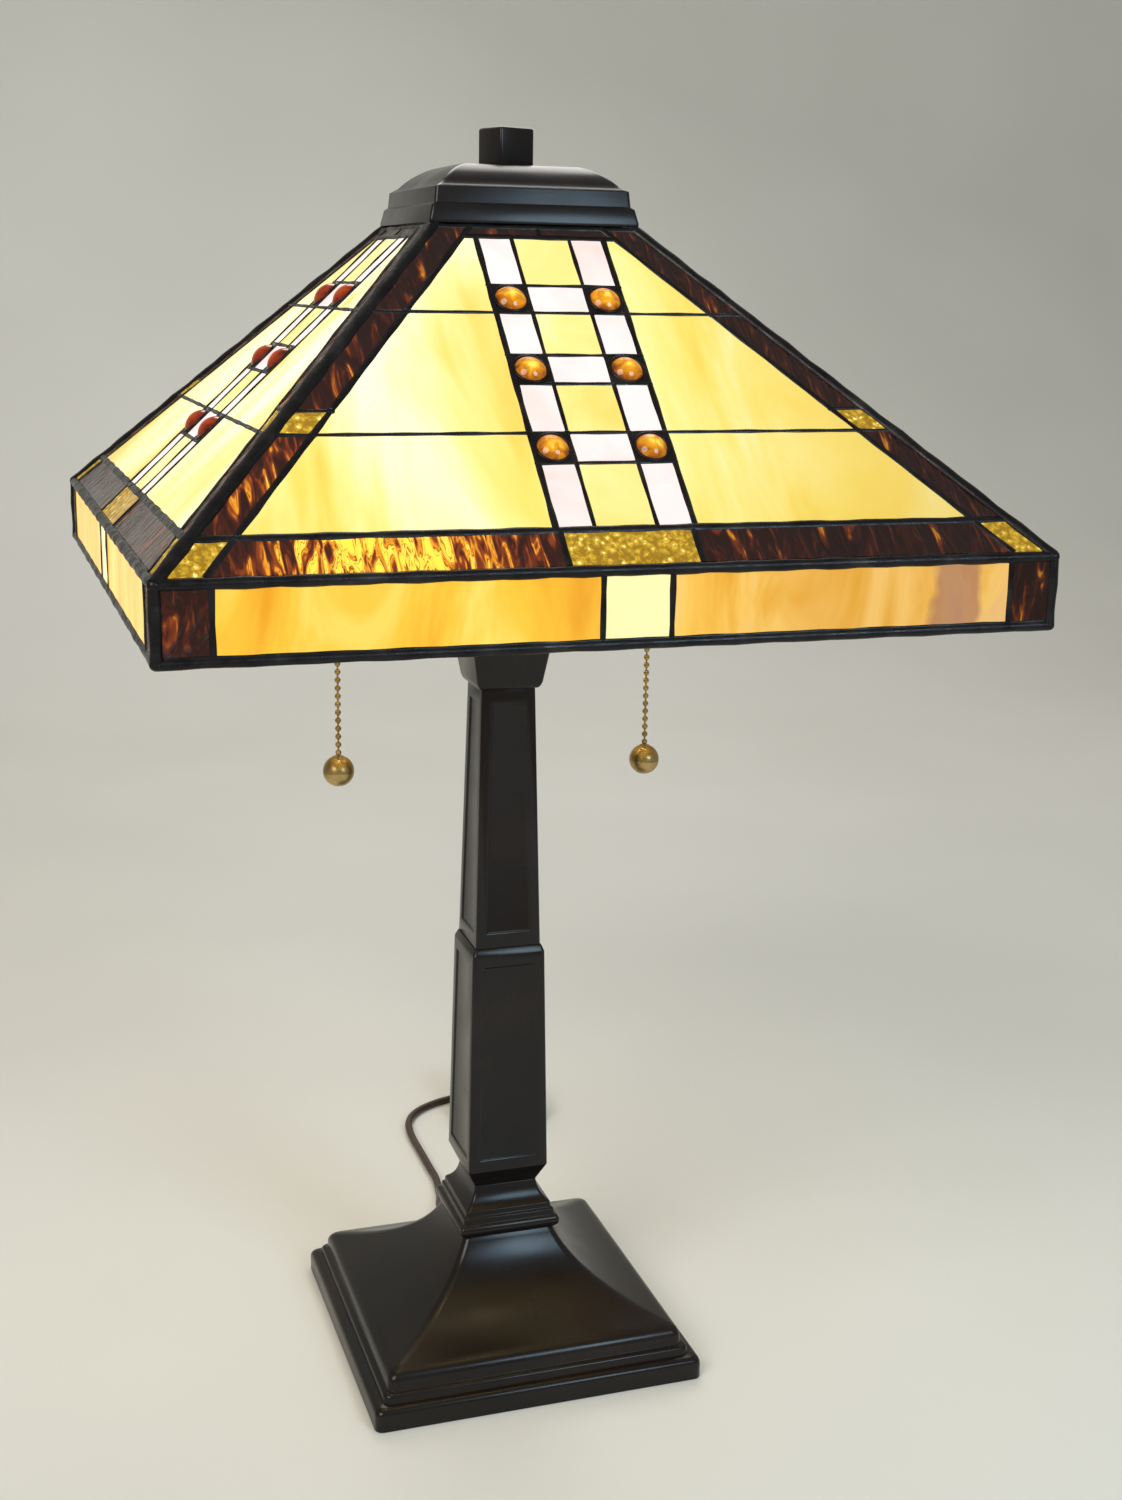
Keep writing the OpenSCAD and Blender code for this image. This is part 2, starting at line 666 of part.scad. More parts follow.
// Glass pieces of a skirt side, s down from the knee
skirt_brown = both([[skirt_line, [rim_half - ridge_gap, 0], skirt_top, skirt_low]]);
skirt_amber = both([[[skirt_mid, 0], skirt_line, skirt_top, skirt_low]]);
skirt_cream = [[[-skirt_mid, 0], [skirt_mid, 0], skirt_top, skirt_low]];
skirt_cells = concat(skirt_brown, skirt_amber, skirt_cream);

window_gap = line_w / 2;
pocket_gap = line_w / 2 - lead_lap;
flange_t = (lead_t - glass_t) / 2;

module cell_shapes(cells, gap) { for (c = cells) polygon(pane(c[0], c[1], c[2], c[3], gap)); }
module jewel_holes(gap) { for (p = jewel_spots) translate(p) circle(r = jewel_r - gap); }

// The quarter of space that belongs to one side, so that neighbours meet in a mitre
module quarter(side, z_0, z_1) {
  far = shade_w;
  rotate(90 * side) translate([0, 0, z_0]) linear_extrude(z_1 - z_0) polygon([[0, 0], [-far, -far], [far, -far]]);
}

module slope_outline() {
  over = 8;
  polygon([[-top_half, over], [top_half, over], [rim_half + over, -slope_len - over], [-rim_half - over, -slope_len - over]]);
}
module skirt_outline() {
  translate([-rim_half - 8, -skirt_h + rim_r]) square([2 * rim_half + 16, skirt_h - rim_r]);
}

module slope_blank(side) {
  intersection() {
    on_slope(side) translate([0, 0, -lead_t / 2]) linear_extrude(lead_t) slope_outline();
    quarter(side, knee_z, seat_z);
  }
}
module skirt_blank(side) {
  intersection() {
    on_skirt(side) translate([0, 0, -lead_t / 2]) linear_extrude(lead_t) skirt_outline();
    quarter(side, rim_z, knee_z);
  }
}

// A lead net has windows in its two thin faces and wider pockets for the glass between them
module net_layer(z, t) { translate([0, 0, z]) linear_extrude(t) difference() { children(0); children(1); } }

module slope_lead(side) {
  color(dark_lead) intersection() {
    on_slope(side) {
      net_layer(-lead_t / 2, flange_t) { slope_outline(); slope_windows(); }
      net_layer(-glass_t / 2, glass_t) { slope_outline(); slope_pockets(); }
      net_layer(glass_t / 2, flange_t) { slope_outline(); slope_windows(); }
    }
    quarter(side, knee_z, seat_z);
  }
}
module slope_windows() { cell_shapes(slope_cells, window_gap); jewel_holes(0.5); }
module slope_pockets() { cell_shapes(slope_cells, pocket_gap); jewel_holes(0); }

module skirt_lead(side) {
  color(dark_lead) intersection() {
    on_skirt(side) {
      net_layer(-lead_t / 2, flange_t) { skirt_outline(); cell_shapes(skirt_cells, window_gap); }
      net_layer(-glass_t / 2, glass_t) { skirt_outline(); cell_shapes(skirt_cells, pocket_gap); }
      net_layer(glass_t / 2, flange_t) { skirt_outline(); cell_shapes(skirt_cells, window_gap); }
    }
    quarter(side, rim_z, knee_z);
  }
}

module front_slope_lead() { slope_lead(0); }
module right_slope_lead() { slope_lead(1); }
module back_slope_lead() { slope_lead(2); }
module left_slope_lead() { slope_lead(3); }
module front_skirt_lead() { skirt_lead(0); }
module right_skirt_lead() { skirt_lead(1); }
module back_skirt_lead() { skirt_lead(2); }
module left_skirt_lead() { skirt_lead(3); }

module rod(a, b, r) {
  way = b - a;
  translate(a) rotate([0, acos(way[2] / norm(way)), atan2(way[1], way[0])]) cylinder(h = norm(way), r = r);
}

module rim_rods() {
  for (side = [0:3]) rotate(90 * side) {
    rod([-rim_half, -rim_half, rim_mid_z], [rim_half, -rim_half, rim_mid_z], rim_r);
    translate([rim_half, -rim_half, rim_mid_z]) sphere(r = rim_r);
  }
}

module all_blanks() { for (side = [0:3]) { slope_blank(side); skirt_blank(side); } }

module rim_bead() {
  color(dark_lead) difference() {
    rim_rods();
    for (side = [0:3]) skirt_blank(side);
  }
}

// The four ridges, drawn past the seat so that they can be cut level there
module ridge_rods() {
  over = 0.04;
  top = [top_half, -top_half, seat_z];
  corner = [rim_half, -rim_half, knee_z];
  for (side = [0:3]) rotate(90 * side) rod(top - over * (corner - top), corner, ridge_r);
}

// Solder run along the four ridges, the four skirt corners and the knee
module ridge_solder() {
  corner = [rim_half, -rim_half, knee_z];
  knee_r = 2.4;
  color(dark_lead) difference() {
    union() {
      ridge_rods();
      for (side = [0:3]) rotate(90 * side) {
        rod([corner[0], corner[1], rim_mid_z], corner, rim_r);
        translate(corner) sphere(r = ridge_r);
        rod([-rim_half, -rim_half, knee_z], corner, knee_r);
      }
    }
    all_blanks();
    rim_rods();
    translate([-rim_half, -rim_half, seat_z]) cube([shade_w, shade_w, 20]);
  }
}

module shade_top_plate() {
  half = top_half + 4;
  color(brass) difference() {
    translate([-half, -half, seat_z - plate_t]) cube([2 * half, 2 * half, plate_t]);
    for (side = [0:3]) on_slope(side) translate([0, 0, -lead_t / 2]) linear_extrude(40) slope_outline();
    ridge_rods();
    translate([0, 0, seat_z - plate_t - 1]) cylinder(h = plate_t + 2, r = pipe_r + turn_gap);
    for (turn = [22.5:45:360]) rotate(turn) translate([27, 0, seat_z - plate_t - 1]) cylinder(h = plate_t + 2, r = 4);
  }
}

module slope_glass(cells) {
  for (side = [0:3]) on_slope(side) translate([0, 0, -glass_t / 2]) linear_extrude(glass_t) cell_shapes(cells, pocket_gap);
}
module skirt_glass(cells) {
  for (side = [0:3]) on_skirt(side) translate([0, 0, -glass_t / 2]) linear_extrude(glass_t) cell_shapes(cells, pocket_gap);
}

module opal_panels() { color([0.96, 0.84, 0.5]) slope_glass(opal_cells); }
module white_tiles() { color([0.95, 0.9, 0.88]) slope_glass(white_cells); }
module cream_tiles() { color([0.97, 0.88, 0.6]) { slope_glass(cream_cells); skirt_glass(skirt_cream); } }
module brown_glass() { color([0.3, 0.11, 0.04]) { slope_glass(brown_cells); skirt_glass(skirt_brown); } }
module gold_glass() { color([0.8, 0.52, 0.1]) slope_glass(gold_cells); }
module skirt_amber_glass() { color([0.85, 0.6, 0.28]) skirt_glass(skirt_amber); }

module amber_jewels() {
  foot_r = jewel_r - 0.6;
  dome_r = (foot_r * foot_r + jewel_rise * jewel_rise) / (2 * jewel_rise);
  color([0.85, 0.5, 0.08])
    for (side = [0:3]) on_slope(side) for (p = jewel_spots) translate([p[0], p[1], -glass_t / 2]) {
      cylinder(h = glass_t, r = jewel_r);
      intersection() {
        translate([0, 0, glass_t + jewel_rise - dome_r]) sphere(r = dome_r);
        translate([0, 0, glass_t - eps]) cylinder(h = jewel_rise + 1, r = foot_r);
      }
    }
}

module shade_cap() {
  top = cap_half - 22;
  brow = cap_half - 7.4;
  color(bronze) difference() {
    mitred(concat(
      [[cap_half, seat_z], [cap_half, seat_z + 1.6], [cap_half - 1.6, seat_z + 8], [cap_half - 3.2, seat_z + 9.2],
       [cap_half - 3.9, seat_z + 16.4], [cap_half - 5.6, seat_z + 17.4]],
      bend([brow, seat_z + 18.4], [brow - 6, seat_z + cap_h - 3], [top, finial_z], 6)));
    mitred(concat(
      [[cap_half - cap_wall - 1.4, seat_z - 1], [cap_half - cap_wall - 3.4, seat_z + 8],
       [cap_half - cap_wall - 6, seat_z + 16]],
      bend([brow - cap_wall - 1, seat_z + 17], [brow - 8, seat_z + cap_h - 5], [top - 3, finial_z - cap_wall], 4)));
    translate([0, 0, finial_z - 10]) cylinder(h = 20, r = pipe_r + turn_gap);
  }
}

module finial() {
  half = finial_w / 2;
  edge = 0.8;
  color(bronze) rotate(finial_turn) difference() {
    mitred([[half, finial_z], [half, finial_z + finial_h - edge], [half - edge, finial_z + finial_h]]);
    translate([0, 0, finial_z - 1]) cylinder(h = finial_h - 4, r = pipe_r + turn_gap);
  }
}

// ---- cord and plug, as they lie on the table ----

// Frame of the sweep at point i: the way along the route, a side and an upright
function way(p, i) = let (a = p[max(i - 1, 0)], b = p[min(i + 1, len(p) - 1)]) (b - a) / norm(b - a);
function side_of(w) = let (c = cross(w, [0, 0, 1])) c / norm(c);
function ring(p, i, r, n) = let (w = way(p, i), u = side_of(w), v = cross(u, w))
  [for (k = [0:n - 1]) p[i] + r * cos(360 * k / n) * u + r * sin(360 * k / n) * v];

module swept(p, r, n) {
  last = len(p) - 1;
  points = [for (i = [0:last]) each ring(p, i, r, n)];
  sides = [for (i = [0:last - 1], k = [0:n - 1])
    let (a = i * n + k, b = i * n + (k + 1) % n) [a, b, b + n, a + n]];
  polyhedron(points, concat(sides, [[for (k = [n - 1:-1:0]) k]], [[for (k = [0:n - 1]) last * n + k]]));
}

module power_cord_run() {
  color([0.12, 0.08, 0.06]) { swept(cord_route, cord_r, 10); swept(tail_route, cord_r, 10); }
}

module power_cord_coil() {
  soft = 2.2;
  color([0.12, 0.08, 0.06]) translate([coil_at[0], coil_at[1], 0]) rotate_extrude()
    polygon([[coil_in_r, soft], [coil_in_r + soft, 0], [coil_out_r - soft, 0], [coil_out_r, soft],
             [coil_out_r, coil_h - soft], [coil_out_r - soft, coil_h], [coil_in_r + soft, coil_h],
             [coil_in_r, coil_h - soft]]);
}

// A flat plug lying on the coil, drawn with the cord entering at the origin
module at_plug() { translate(tail_route[len(tail_route) - 1]) rotate(plug_turn) children(); }

module plug_body() {
  color([0.12, 0.08, 0.06]) at_plug() {
    rotate([0, 90, 0]) cylinder(h = relief + 1, r1 = cord_r + 0.5, r2 = 4.4);
    translate([relief, 0, -6.4]) linear_extrude(plug_t)
      polygon([[0, -5.5], [5, -8.5], [9, -plug_half], [plug_len, -plug_half],
               [plug_len, plug_half], [9, plug_half], [5, 8.5], [0, 5.5]]);
  }
}

module plug_blades() {
  color(brass) at_plug() for (y = [-6.35, 6.35])
    translate([relief + plug_len, y - 0.75, -3.1]) cube([16, 1.5, 6.3]);
}

base_shell();
base_weight();
base_felt();
column_foot();
lower_column();
upper_column();
column_capital();
center_pipe();
bottom_washer();
bottom_nut();
cord_bushing();
inner_cord();
cluster_body();
left_arm();
right_arm();
riser_stem();
seat_nut();
left_socket_cap();
right_socket_cap();
left_socket_shell();
right_socket_shell();
socket_liners();
switch_cores();
screw_shells();
center_contacts();
bell_mouths();
left_bulb_glass();
left_bulb_base();
right_bulb_glass();
right_bulb_base();
left_pull_link();
left_pull_chain();
left_pull_ball();
right_pull_link();
right_pull_chain();
right_pull_ball();
shade_top_plate();
front_slope_lead();
right_slope_lead();
back_slope_lead();
left_slope_lead();
front_skirt_lead();
right_skirt_lead();
back_skirt_lead();
left_skirt_lead();
ridge_solder();
rim_bead();
opal_panels();
white_tiles();
cream_tiles();
amber_jewels();
brown_glass();
gold_glass();
skirt_amber_glass();
shade_cap();
finial();
power_cord_run();
power_cord_coil();
plug_body();
plug_blades();
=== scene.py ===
# %% [markdown]
# # A table lamp with a leaded glass shade
# The lamp is a dark bronze casting with a square, tapered column. It carries a
# four-sided shade of opal, amber and brown glass, held in a net of black
# solder. The CAD model gives every size and place, and this script gives the
# looks: each cell says what a piece is on the real lamp and then models it.

import math
import bpy
from mathutils import Matrix, Quaternion, Vector


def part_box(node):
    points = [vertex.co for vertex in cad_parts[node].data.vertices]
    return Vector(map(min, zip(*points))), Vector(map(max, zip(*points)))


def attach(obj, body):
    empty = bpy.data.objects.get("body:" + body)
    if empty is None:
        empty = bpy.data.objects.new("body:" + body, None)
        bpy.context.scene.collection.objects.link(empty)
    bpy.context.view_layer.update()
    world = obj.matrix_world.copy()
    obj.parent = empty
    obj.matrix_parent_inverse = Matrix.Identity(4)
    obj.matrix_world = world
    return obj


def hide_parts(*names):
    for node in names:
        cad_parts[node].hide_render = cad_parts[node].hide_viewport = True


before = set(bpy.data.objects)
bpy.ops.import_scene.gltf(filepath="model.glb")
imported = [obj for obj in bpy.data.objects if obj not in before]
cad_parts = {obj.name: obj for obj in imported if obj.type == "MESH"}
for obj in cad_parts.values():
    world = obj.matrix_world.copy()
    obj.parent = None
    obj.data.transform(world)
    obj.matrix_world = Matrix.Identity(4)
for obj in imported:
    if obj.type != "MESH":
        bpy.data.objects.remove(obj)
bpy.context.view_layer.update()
mm = 0.001

# %% [markdown]
# ## The camera
# A long lens stands a metre away, left of the front and a little above the
# shade's rim, so two sides of the shade show. It leans by one degree. The
# direction is given as a vector, and a small turn about the view axis gives
# the lean.

# %% Camera
look = Vector((0.3067, 0.9215, -0.2384)).normalized()
camera_place = (-0.27926, -0.94064, 0.57790)
camera_lean = math.radians(0.95)
lens_mm, film_mm, nearest_m = 45.56, 36, 0.02
camera = bpy.data.objects.new("camera", bpy.data.cameras.new("camera"))
bpy.context.scene.collection.objects.link(camera)
camera.location = camera_place
camera.rotation_mode = "QUATERNION"
camera.rotation_quaternion = look.to_track_quat("-Z", "Y") @ Quaternion((0, 0, 1), camera_lean)
camera.data.lens = lens_mm
camera.data.sensor_width = film_mm
camera.data.clip_start = nearest_m
bpy.context.scene.camera = camera
bpy.context.scene.view_settings.view_transform = "Standard"
print("camera at", [round(v, 3) for v in camera.location])

# %% [markdown]
# ## Tools for the bench
# Every piece is started from a primitive and shaped in edit mode. An operator
# works on all that is selected, so `clear_bench` empties the selection first.
# A finished piece keeps its place in its mesh, with its object at the origin,
# so that a pattern on Object coordinates stays where it is.

# %% Bench tools
def clear_bench():
    if bpy.context.object and bpy.context.object.mode != "OBJECT":
        bpy.ops.object.mode_set(mode="OBJECT")
    bpy.ops.object.select_all(action="DESELECT")


def fix_place():
    bpy.ops.object.transform_apply(location=True, rotation=True, scale=True)
    return bpy.context.object


def join(pieces, name):
    clear_bench()
    for piece in pieces:
        piece.select_set(True)
    bpy.context.view_layer.objects.active = pieces[0]
    if len(pieces) > 1:
        bpy.ops.object.join()
    pieces[0].name = pieces[0].data.name = name
    return pieces[0]


def twin_of(piece, name, place):
    """A copy with its own mesh, moved by the matrix place."""
    twin = piece.copy()
    twin.data = piece.data.copy()
    twin.name = twin.data.name = name
    bpy.context.scene.collection.objects.link(twin)
    twin.data.transform(place)
    if place.determinant() < 0:
        twin.data.flip_normals()
    return twin


def use_modifier(piece, kind, **settings):
    clear_bench()
    piece.select_set(True)
    bpy.context.view_layer.objects.active = piece
    modifier = piece.modifiers.new(kind, kind)
    for key, value in settings.items():
        setattr(modifier, key, value)
    bpy.ops.object.modifier_apply(modifier=modifier.name)


def round_edges(piece, width, segments=2, sharper_than=26):
    """Bevels the edges sharper than so many degrees, by a width in millimetres."""
    use_modifier(piece, "BEVEL", width=width * mm, segments=segments, limit_method="ANGLE",
                 angle_limit=math.radians(sharper_than))


def smooth(piece, degrees=32):
    clear_bench()
    piece.select_set(True)
    bpy.context.view_layer.objects.active = piece
    bpy.ops.object.shade_smooth_by_angle(angle=math.radians(degrees))
    return piece


def pick_faces(piece, test):
    """Edit mode, with the faces selected whose (centre, normal) pass the test."""
    bpy.ops.object.mode_set(mode="EDIT")
    bpy.context.tool_settings.mesh_select_mode = (False, False, True)
    bpy.ops.mesh.select_all(action="DESELECT")
    bpy.ops.object.mode_set(mode="OBJECT")
    for face in piece.data.polygons:
        face.select = bool(test(face.center, face.normal))
    bpy.ops.object.mode_set(mode="EDIT")


def pick_edges(piece, test):
    """Edit mode, with the edges selected whose two ends pass the test."""
    bpy.ops.object.mode_set(mode="EDIT")
    bpy.context.tool_settings.mesh_select_mode = (False, True, False)
    bpy.ops.mesh.select_all(action="DESELECT")
    bpy.ops.object.mode_set(mode="OBJECT")
    points = [v.co for v in piece.data.vertices]
    for edge in piece.data.edges:
        edge.select = bool(test(points[edge.vertices[0]], points[edge.vertices[1]]))
    bpy.ops.object.mode_set(mode="EDIT")


def extrude(x, y, z):
    bpy.ops.mesh.extrude_region_move(TRANSFORM_OT_translate={"value": (x, y, z)})


def resize(x, y, z, about=(0, 0, 0)):
    bpy.ops.transform.resize(value=(x, y, z), center_override=about)


def extrude_through(outline):
    """Extrudes the flat piece on the bench up through an outline of (half width, height), in millimetres."""
    half, height = outline[0]
    bpy.ops.object.mode_set(mode="EDIT")
    bpy.ops.mesh.select_all(action="SELECT")
    for wide, high in outline[1:]:
        extrude(0, 0, (high - height) * mm)
        resize(wide / half, wide / half, 1)
        half, height = wide, high
    bpy.ops.mesh.select_all(action="SELECT")
    bpy.ops.mesh.normals_make_consistent(inside=False)
    bpy.ops.object.mode_set(mode="OBJECT")


def shift(x, y, z):
    """A move in millimetres, as a matrix."""
    return Matrix.Translation((x * mm, y * mm, z * mm))


def turn(degrees, axis):
    return Matrix.Rotation(math.radians(degrees), 4, axis)


def fit(piece, name, body, slot, finish, *nodes):
    """Names a finished piece and gives it its body and its finish. Its slot is not used."""
    piece.name = piece.data.name = name
    piece.data.materials.clear()
    piece.data.materials.append(finish)
    for face in piece.data.polygons if piece.type == "MESH" else []:
        face.material_index = 0
    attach(piece, body)
    if nodes:
        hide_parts(*nodes)
    return piece

# %% [markdown]
# ## Tools for finishes
# Most finishes are one Principled shader with a pattern on its colour,
# roughness and bump. A pattern reads Object coordinates, in metres on the
# lamp itself, so its grain has a true size. These helpers add the nodes: a
# coordinate, a noise, a colour ramp, a mix of two colours and a bump.

# %% Finish tools
def new_finish(name, colour, roughness, **sockets):
    finish = bpy.data.materials.new(name)
    finish.use_nodes = True
    shader = finish.node_tree.nodes["Principled BSDF"]
    shader.inputs["Base Color"].default_value = (*colour, 1)
    shader.inputs["Roughness"].default_value = roughness
    for key, value in sockets.items():
        shader.inputs[key.replace("_", " ")].default_value = value
    return finish, shader


def add_node(finish, kind, inputs=None, **settings):
    """Adds a node. Its inputs are values, or the outputs of other nodes that are to be linked."""
    node = finish.node_tree.nodes.new(kind)
    for key, value in settings.items():
        setattr(node, key, value)
    for key, value in (inputs or {}).items():
        if isinstance(value, bpy.types.NodeSocket):
            finish.node_tree.links.new(value, node.inputs[key])
        else:
            node.inputs[key].default_value = value
    return node


def plug(finish, out, into):
    finish.node_tree.links.new(out, into)


def object_at(finish):
    return add_node(finish, "ShaderNodeTexCoord").outputs["Object"]


def along(finish, axis):
    return add_node(finish, "ShaderNodeSeparateXYZ", {"Vector": object_at(finish)}).outputs[axis]


def away_from(finish, spot):
    inputs = {0: object_at(finish), 1: spot}
    return add_node(finish, "ShaderNodeVectorMath", inputs, operation="DISTANCE").outputs["Value"]


def stretched(finish, scale=(1, 1, 1)):
    inputs = {"Vector": object_at(finish), "Scale": scale}
    return add_node(finish, "ShaderNodeMapping", inputs).outputs["Vector"]


def noise(finish, where, scale, detail=3.0, roughness=0.5, distortion=0.0):
    inputs = {"Vector": where, "Scale": scale, "Detail": detail, "Roughness": roughness,
              "Distortion": distortion}
    return add_node(finish, "ShaderNodeTexNoise", inputs).outputs["Fac"]


def maths(finish, operation, *values, **settings):
    inputs = dict(enumerate(values))
    return add_node(finish, "ShaderNodeMath", inputs, operation=operation, **settings).outputs["Value"]


def spread(finish, value, low, high, to_low, to_high):
    """Maps low to high on to to_low to to_high, and stops at both ends."""
    inputs = {"Value": value, "From Min": low, "From Max": high, "To Min": to_low, "To Max": to_high}
    return add_node(finish, "ShaderNodeMapRange", inputs).outputs["Result"]


def ramp(finish, value, stops):
    """Colours along a value, from stops of (value, colour)."""
    node = add_node(finish, "ShaderNodeValToRGB", {"Fac": value})
    points = node.color_ramp.elements
    while len(points) < len(stops):
        points.new(0.5)
    for point, (at, colour) in zip(points, stops):
        point.position = at
        point.color = (*colour, 1)
    return node.outputs["Color"]


def mixed(finish, amount, first, second, blend_type="MIX"):
    """Lays a second colour over the first, as strongly as amount says."""
    if not isinstance(second, bpy.types.NodeSocket):
        second = (*second, 1)
    inputs = {0: amount, 6: first, 7: second}
    return add_node(finish, "ShaderNodeMix", inputs, data_type="RGBA", blend_type=blend_type).outputs[2]


def bump(finish, shader, height, strength, distance):
    node = add_node(finish, "ShaderNodeBump", {"Height": height, "Strength": strength, "Distance": distance})
    plug(finish, node.outputs["Normal"], shader.inputs["Normal"])


def vary_colour(finish, shader, pattern, stops):
    plug(finish, ramp(finish, pattern, stops), shader.inputs["Base Color"])


def vary_gloss(finish, shader, pattern, low, high):
    """Lets the roughness follow a noise, whose values lie mostly between 0.3 and 0.7."""
    plug(finish, spread(finish, pattern, 0.3, 0.7, low, high), shader.inputs["Roughness"])

# %% [markdown]
# ## The cord
# A brown lead, 5 mm thick, leaves the back of the base through a rubber
# strain relief, drops to the table and runs behind the lamp to a neat coil.
# A Bezier curve through the route's points, rounded with a bevel, keeps one
# smooth centreline whose length can be measured. The turns lie beside and on
# each other. Where a layer is full the cord climbs, and it has stepped aside
# earlier in the turn above, so no turn runs into another.

# %% Route of the cord
cord_run = [(0, 116, 7), (0, 122, 7), (1, 130, 6), (3, 139, 4.4), (6, 149, 3), (8, 160, 2.6),
            (10, 175, 2.6), (10, 190, 2.6), (10, 206, 2.6), (10, 222, 2.6), (10, 238, 2.6),
            (11, 252, 2.6), (14, 266, 2.6), (22, 279, 2.6), (34, 288, 2.6), (48, 294, 2.6),
            (63, 296.5, 2.6)]
cord_tail = [(88, 286.3, 18), (95.5, 283, 18), (101.5, 277.2, 18), (104.5, 269.5, 18),
             (104.3, 261, 18.2), (101, 253.3, 18.7), (94.8, 247.2, 18.7), (87, 243.6, 18.3),
             (78.6, 243, 18), (70.8, 245.4, 18.2), (64.5, 250.4, 18.9), (60.6, 257.2, 19.8),
             (59, 264.5, 20.8), (59, 272, 21.9)]
coil_middle = (80, 266)
# (turned so far in degrees, radius, height), with a soft change between two rows
coil_plan = [(0, 31, 2.6), (280, 31, 2.6), (360, 26, 2.6), (640, 26, 2.6), (720, 21, 2.6),
             (940, 21, 2.6), (1000, 21, 7.7), (1220, 21, 7.7), (1300, 26, 7.7), (1580, 26, 7.7),
             (1660, 31, 7.7), (1880, 31, 7.7), (1940, 31, 12.8), (2160, 31, 12.8), (2240, 26, 12.8),
             (2520, 26, 12.8), (2600, 21, 12.8), (2800, 21, 12.8), (2880, 21, 17.8)]


def coil_point(turned):
    for (t0, r0, z0), (t1, r1, z1) in zip(coil_plan, coil_plan[1:]):
        if turned <= t1:
            part = (1 - math.cos(math.pi * (turned - t0) / (t1 - t0))) / 2
            radius, height = r0 + part * (r1 - r0), z0 + part * (z1 - z0)
            break
    angle = math.radians(90 - turned)
    return (coil_middle[0] + radius * math.cos(angle), coil_middle[1] + radius * math.sin(angle), height)


coil = [coil_point(turned) for turned in range(0, 2881, 20)]
route = [Vector(p) * mm for p in cord_run + coil + cord_tail]
print("the cord has", len(route), "points")

# %% Cord piece
cord_thick = 5
cord_curve = bpy.data.curves.new("power_cord", "CURVE")
cord_curve.dimensions = "3D"
cord_curve.resolution_u = 4
cord_curve.bevel_depth = cord_thick / 2 * mm
cord_curve.bevel_resolution = 3
cord_curve.use_fill_caps = True
line = cord_curve.splines.new("BEZIER")
line.bezier_points.add(len(route) - 1)
for knot, point in zip(line.bezier_points, route):
    knot.co = point
    knot.handle_left_type = knot.handle_right_type = "AUTO"
power_cord = bpy.data.objects.new("power_cord", cord_curve)
bpy.context.scene.collection.objects.link(power_cord)
cord_long = sum((b - a).length for a, b in zip(route, route[1:]))
print("the cord is about", round(cord_long, 3), "m long")

# %% [markdown]
# The lead ends in a moulded plug, which lies on the coil. A cube is drawn out
# into the plug's flat body, its back corners are brought in and all its edges
# are rounded. The relief at the lamp is a cone with rubber ribs, extruded
# ring by ring. A flat strap goes round the turns and holds them.

# %% Rubber finish
rubber, shader = new_finish("brown rubber", (0.045, 0.026, 0.017), 0.42, Specular_IOR_Level=0.4)
rubber_at = stretched(rubber)
grain = noise(rubber, rubber_at, 900, 2)
vary_gloss(rubber, shader, grain, 0.36, 0.5)
vary_colour(rubber, shader, noise(rubber, rubber_at, 60),
            [(0.3, (0.035, 0.02, 0.013)), (0.7, (0.06, 0.034, 0.022))])
bump(rubber, shader, grain, 0.25, 0.0002)

# %% Plug
def ringed_cone(rings, place, steps=20):
    """Extrudes a round end up through rings of (radius, height), in millimetres, and puts it in place."""
    clear_bench()
    radius, height = rings[0]
    bpy.ops.mesh.primitive_circle_add(vertices=steps, radius=radius * mm, fill_type="NGON",
                                      location=(0, 0, height * mm))
    piece = fix_place()
    extrude_through(rings)
    piece.data.transform(place)
    return piece


plug_place = shift(*cord_tail[-1]) @ turn(74, "Z")
neck_rings = [(3.1, 0), (3.3, 2), (2.8, 2.3), (2.8, 3.0), (3.6, 3.3), (3.7, 5.2), (3.2, 5.5), (3.2, 6.2),
              (4.2, 6.5), (4.4, 10)]
neck = ringed_cone(neck_rings, plug_place @ turn(90, "Y"))
block_size, block_middle = (24 * mm, 21 * mm, 13 * mm), (21 * mm, 0, 0.1 * mm)
clear_bench()
bpy.ops.mesh.primitive_cube_add(size=1, location=block_middle, scale=block_size)
plug_block = fix_place()
pick_faces(plug_block, lambda centre, normal: normal.x < -0.9)
resize(1, 0.84, 1)
extrude(-3 * mm, 0, 0)
resize(1, 0.62, 0.86)
bpy.ops.object.mode_set(mode="OBJECT")
pick_faces(plug_block, lambda centre, normal: normal.x > 0.9)
bpy.ops.mesh.inset(thickness=1.2 * mm)
extrude(-0.4 * mm, 0, 0)
bpy.ops.object.mode_set(mode="OBJECT")
pick_faces(plug_block, lambda centre, normal: abs(normal.y) > 0.9)
bpy.ops.mesh.inset(thickness=2.2 * mm)
resize(1, 0.93, 1)
bpy.ops.object.mode_set(mode="OBJECT")
plug_block.data.transform(plug_place)
round_edges(plug_block, 0.9, 3, 30)
plug_piece = smooth(join([plug_block, neck], "plug"))
fit(plug_piece, "cord_plug", "stand", "cord_rubber", rubber, "plug_body")
print("the plug is", [round(v, 4) for v in plug_piece.dimensions], "m")

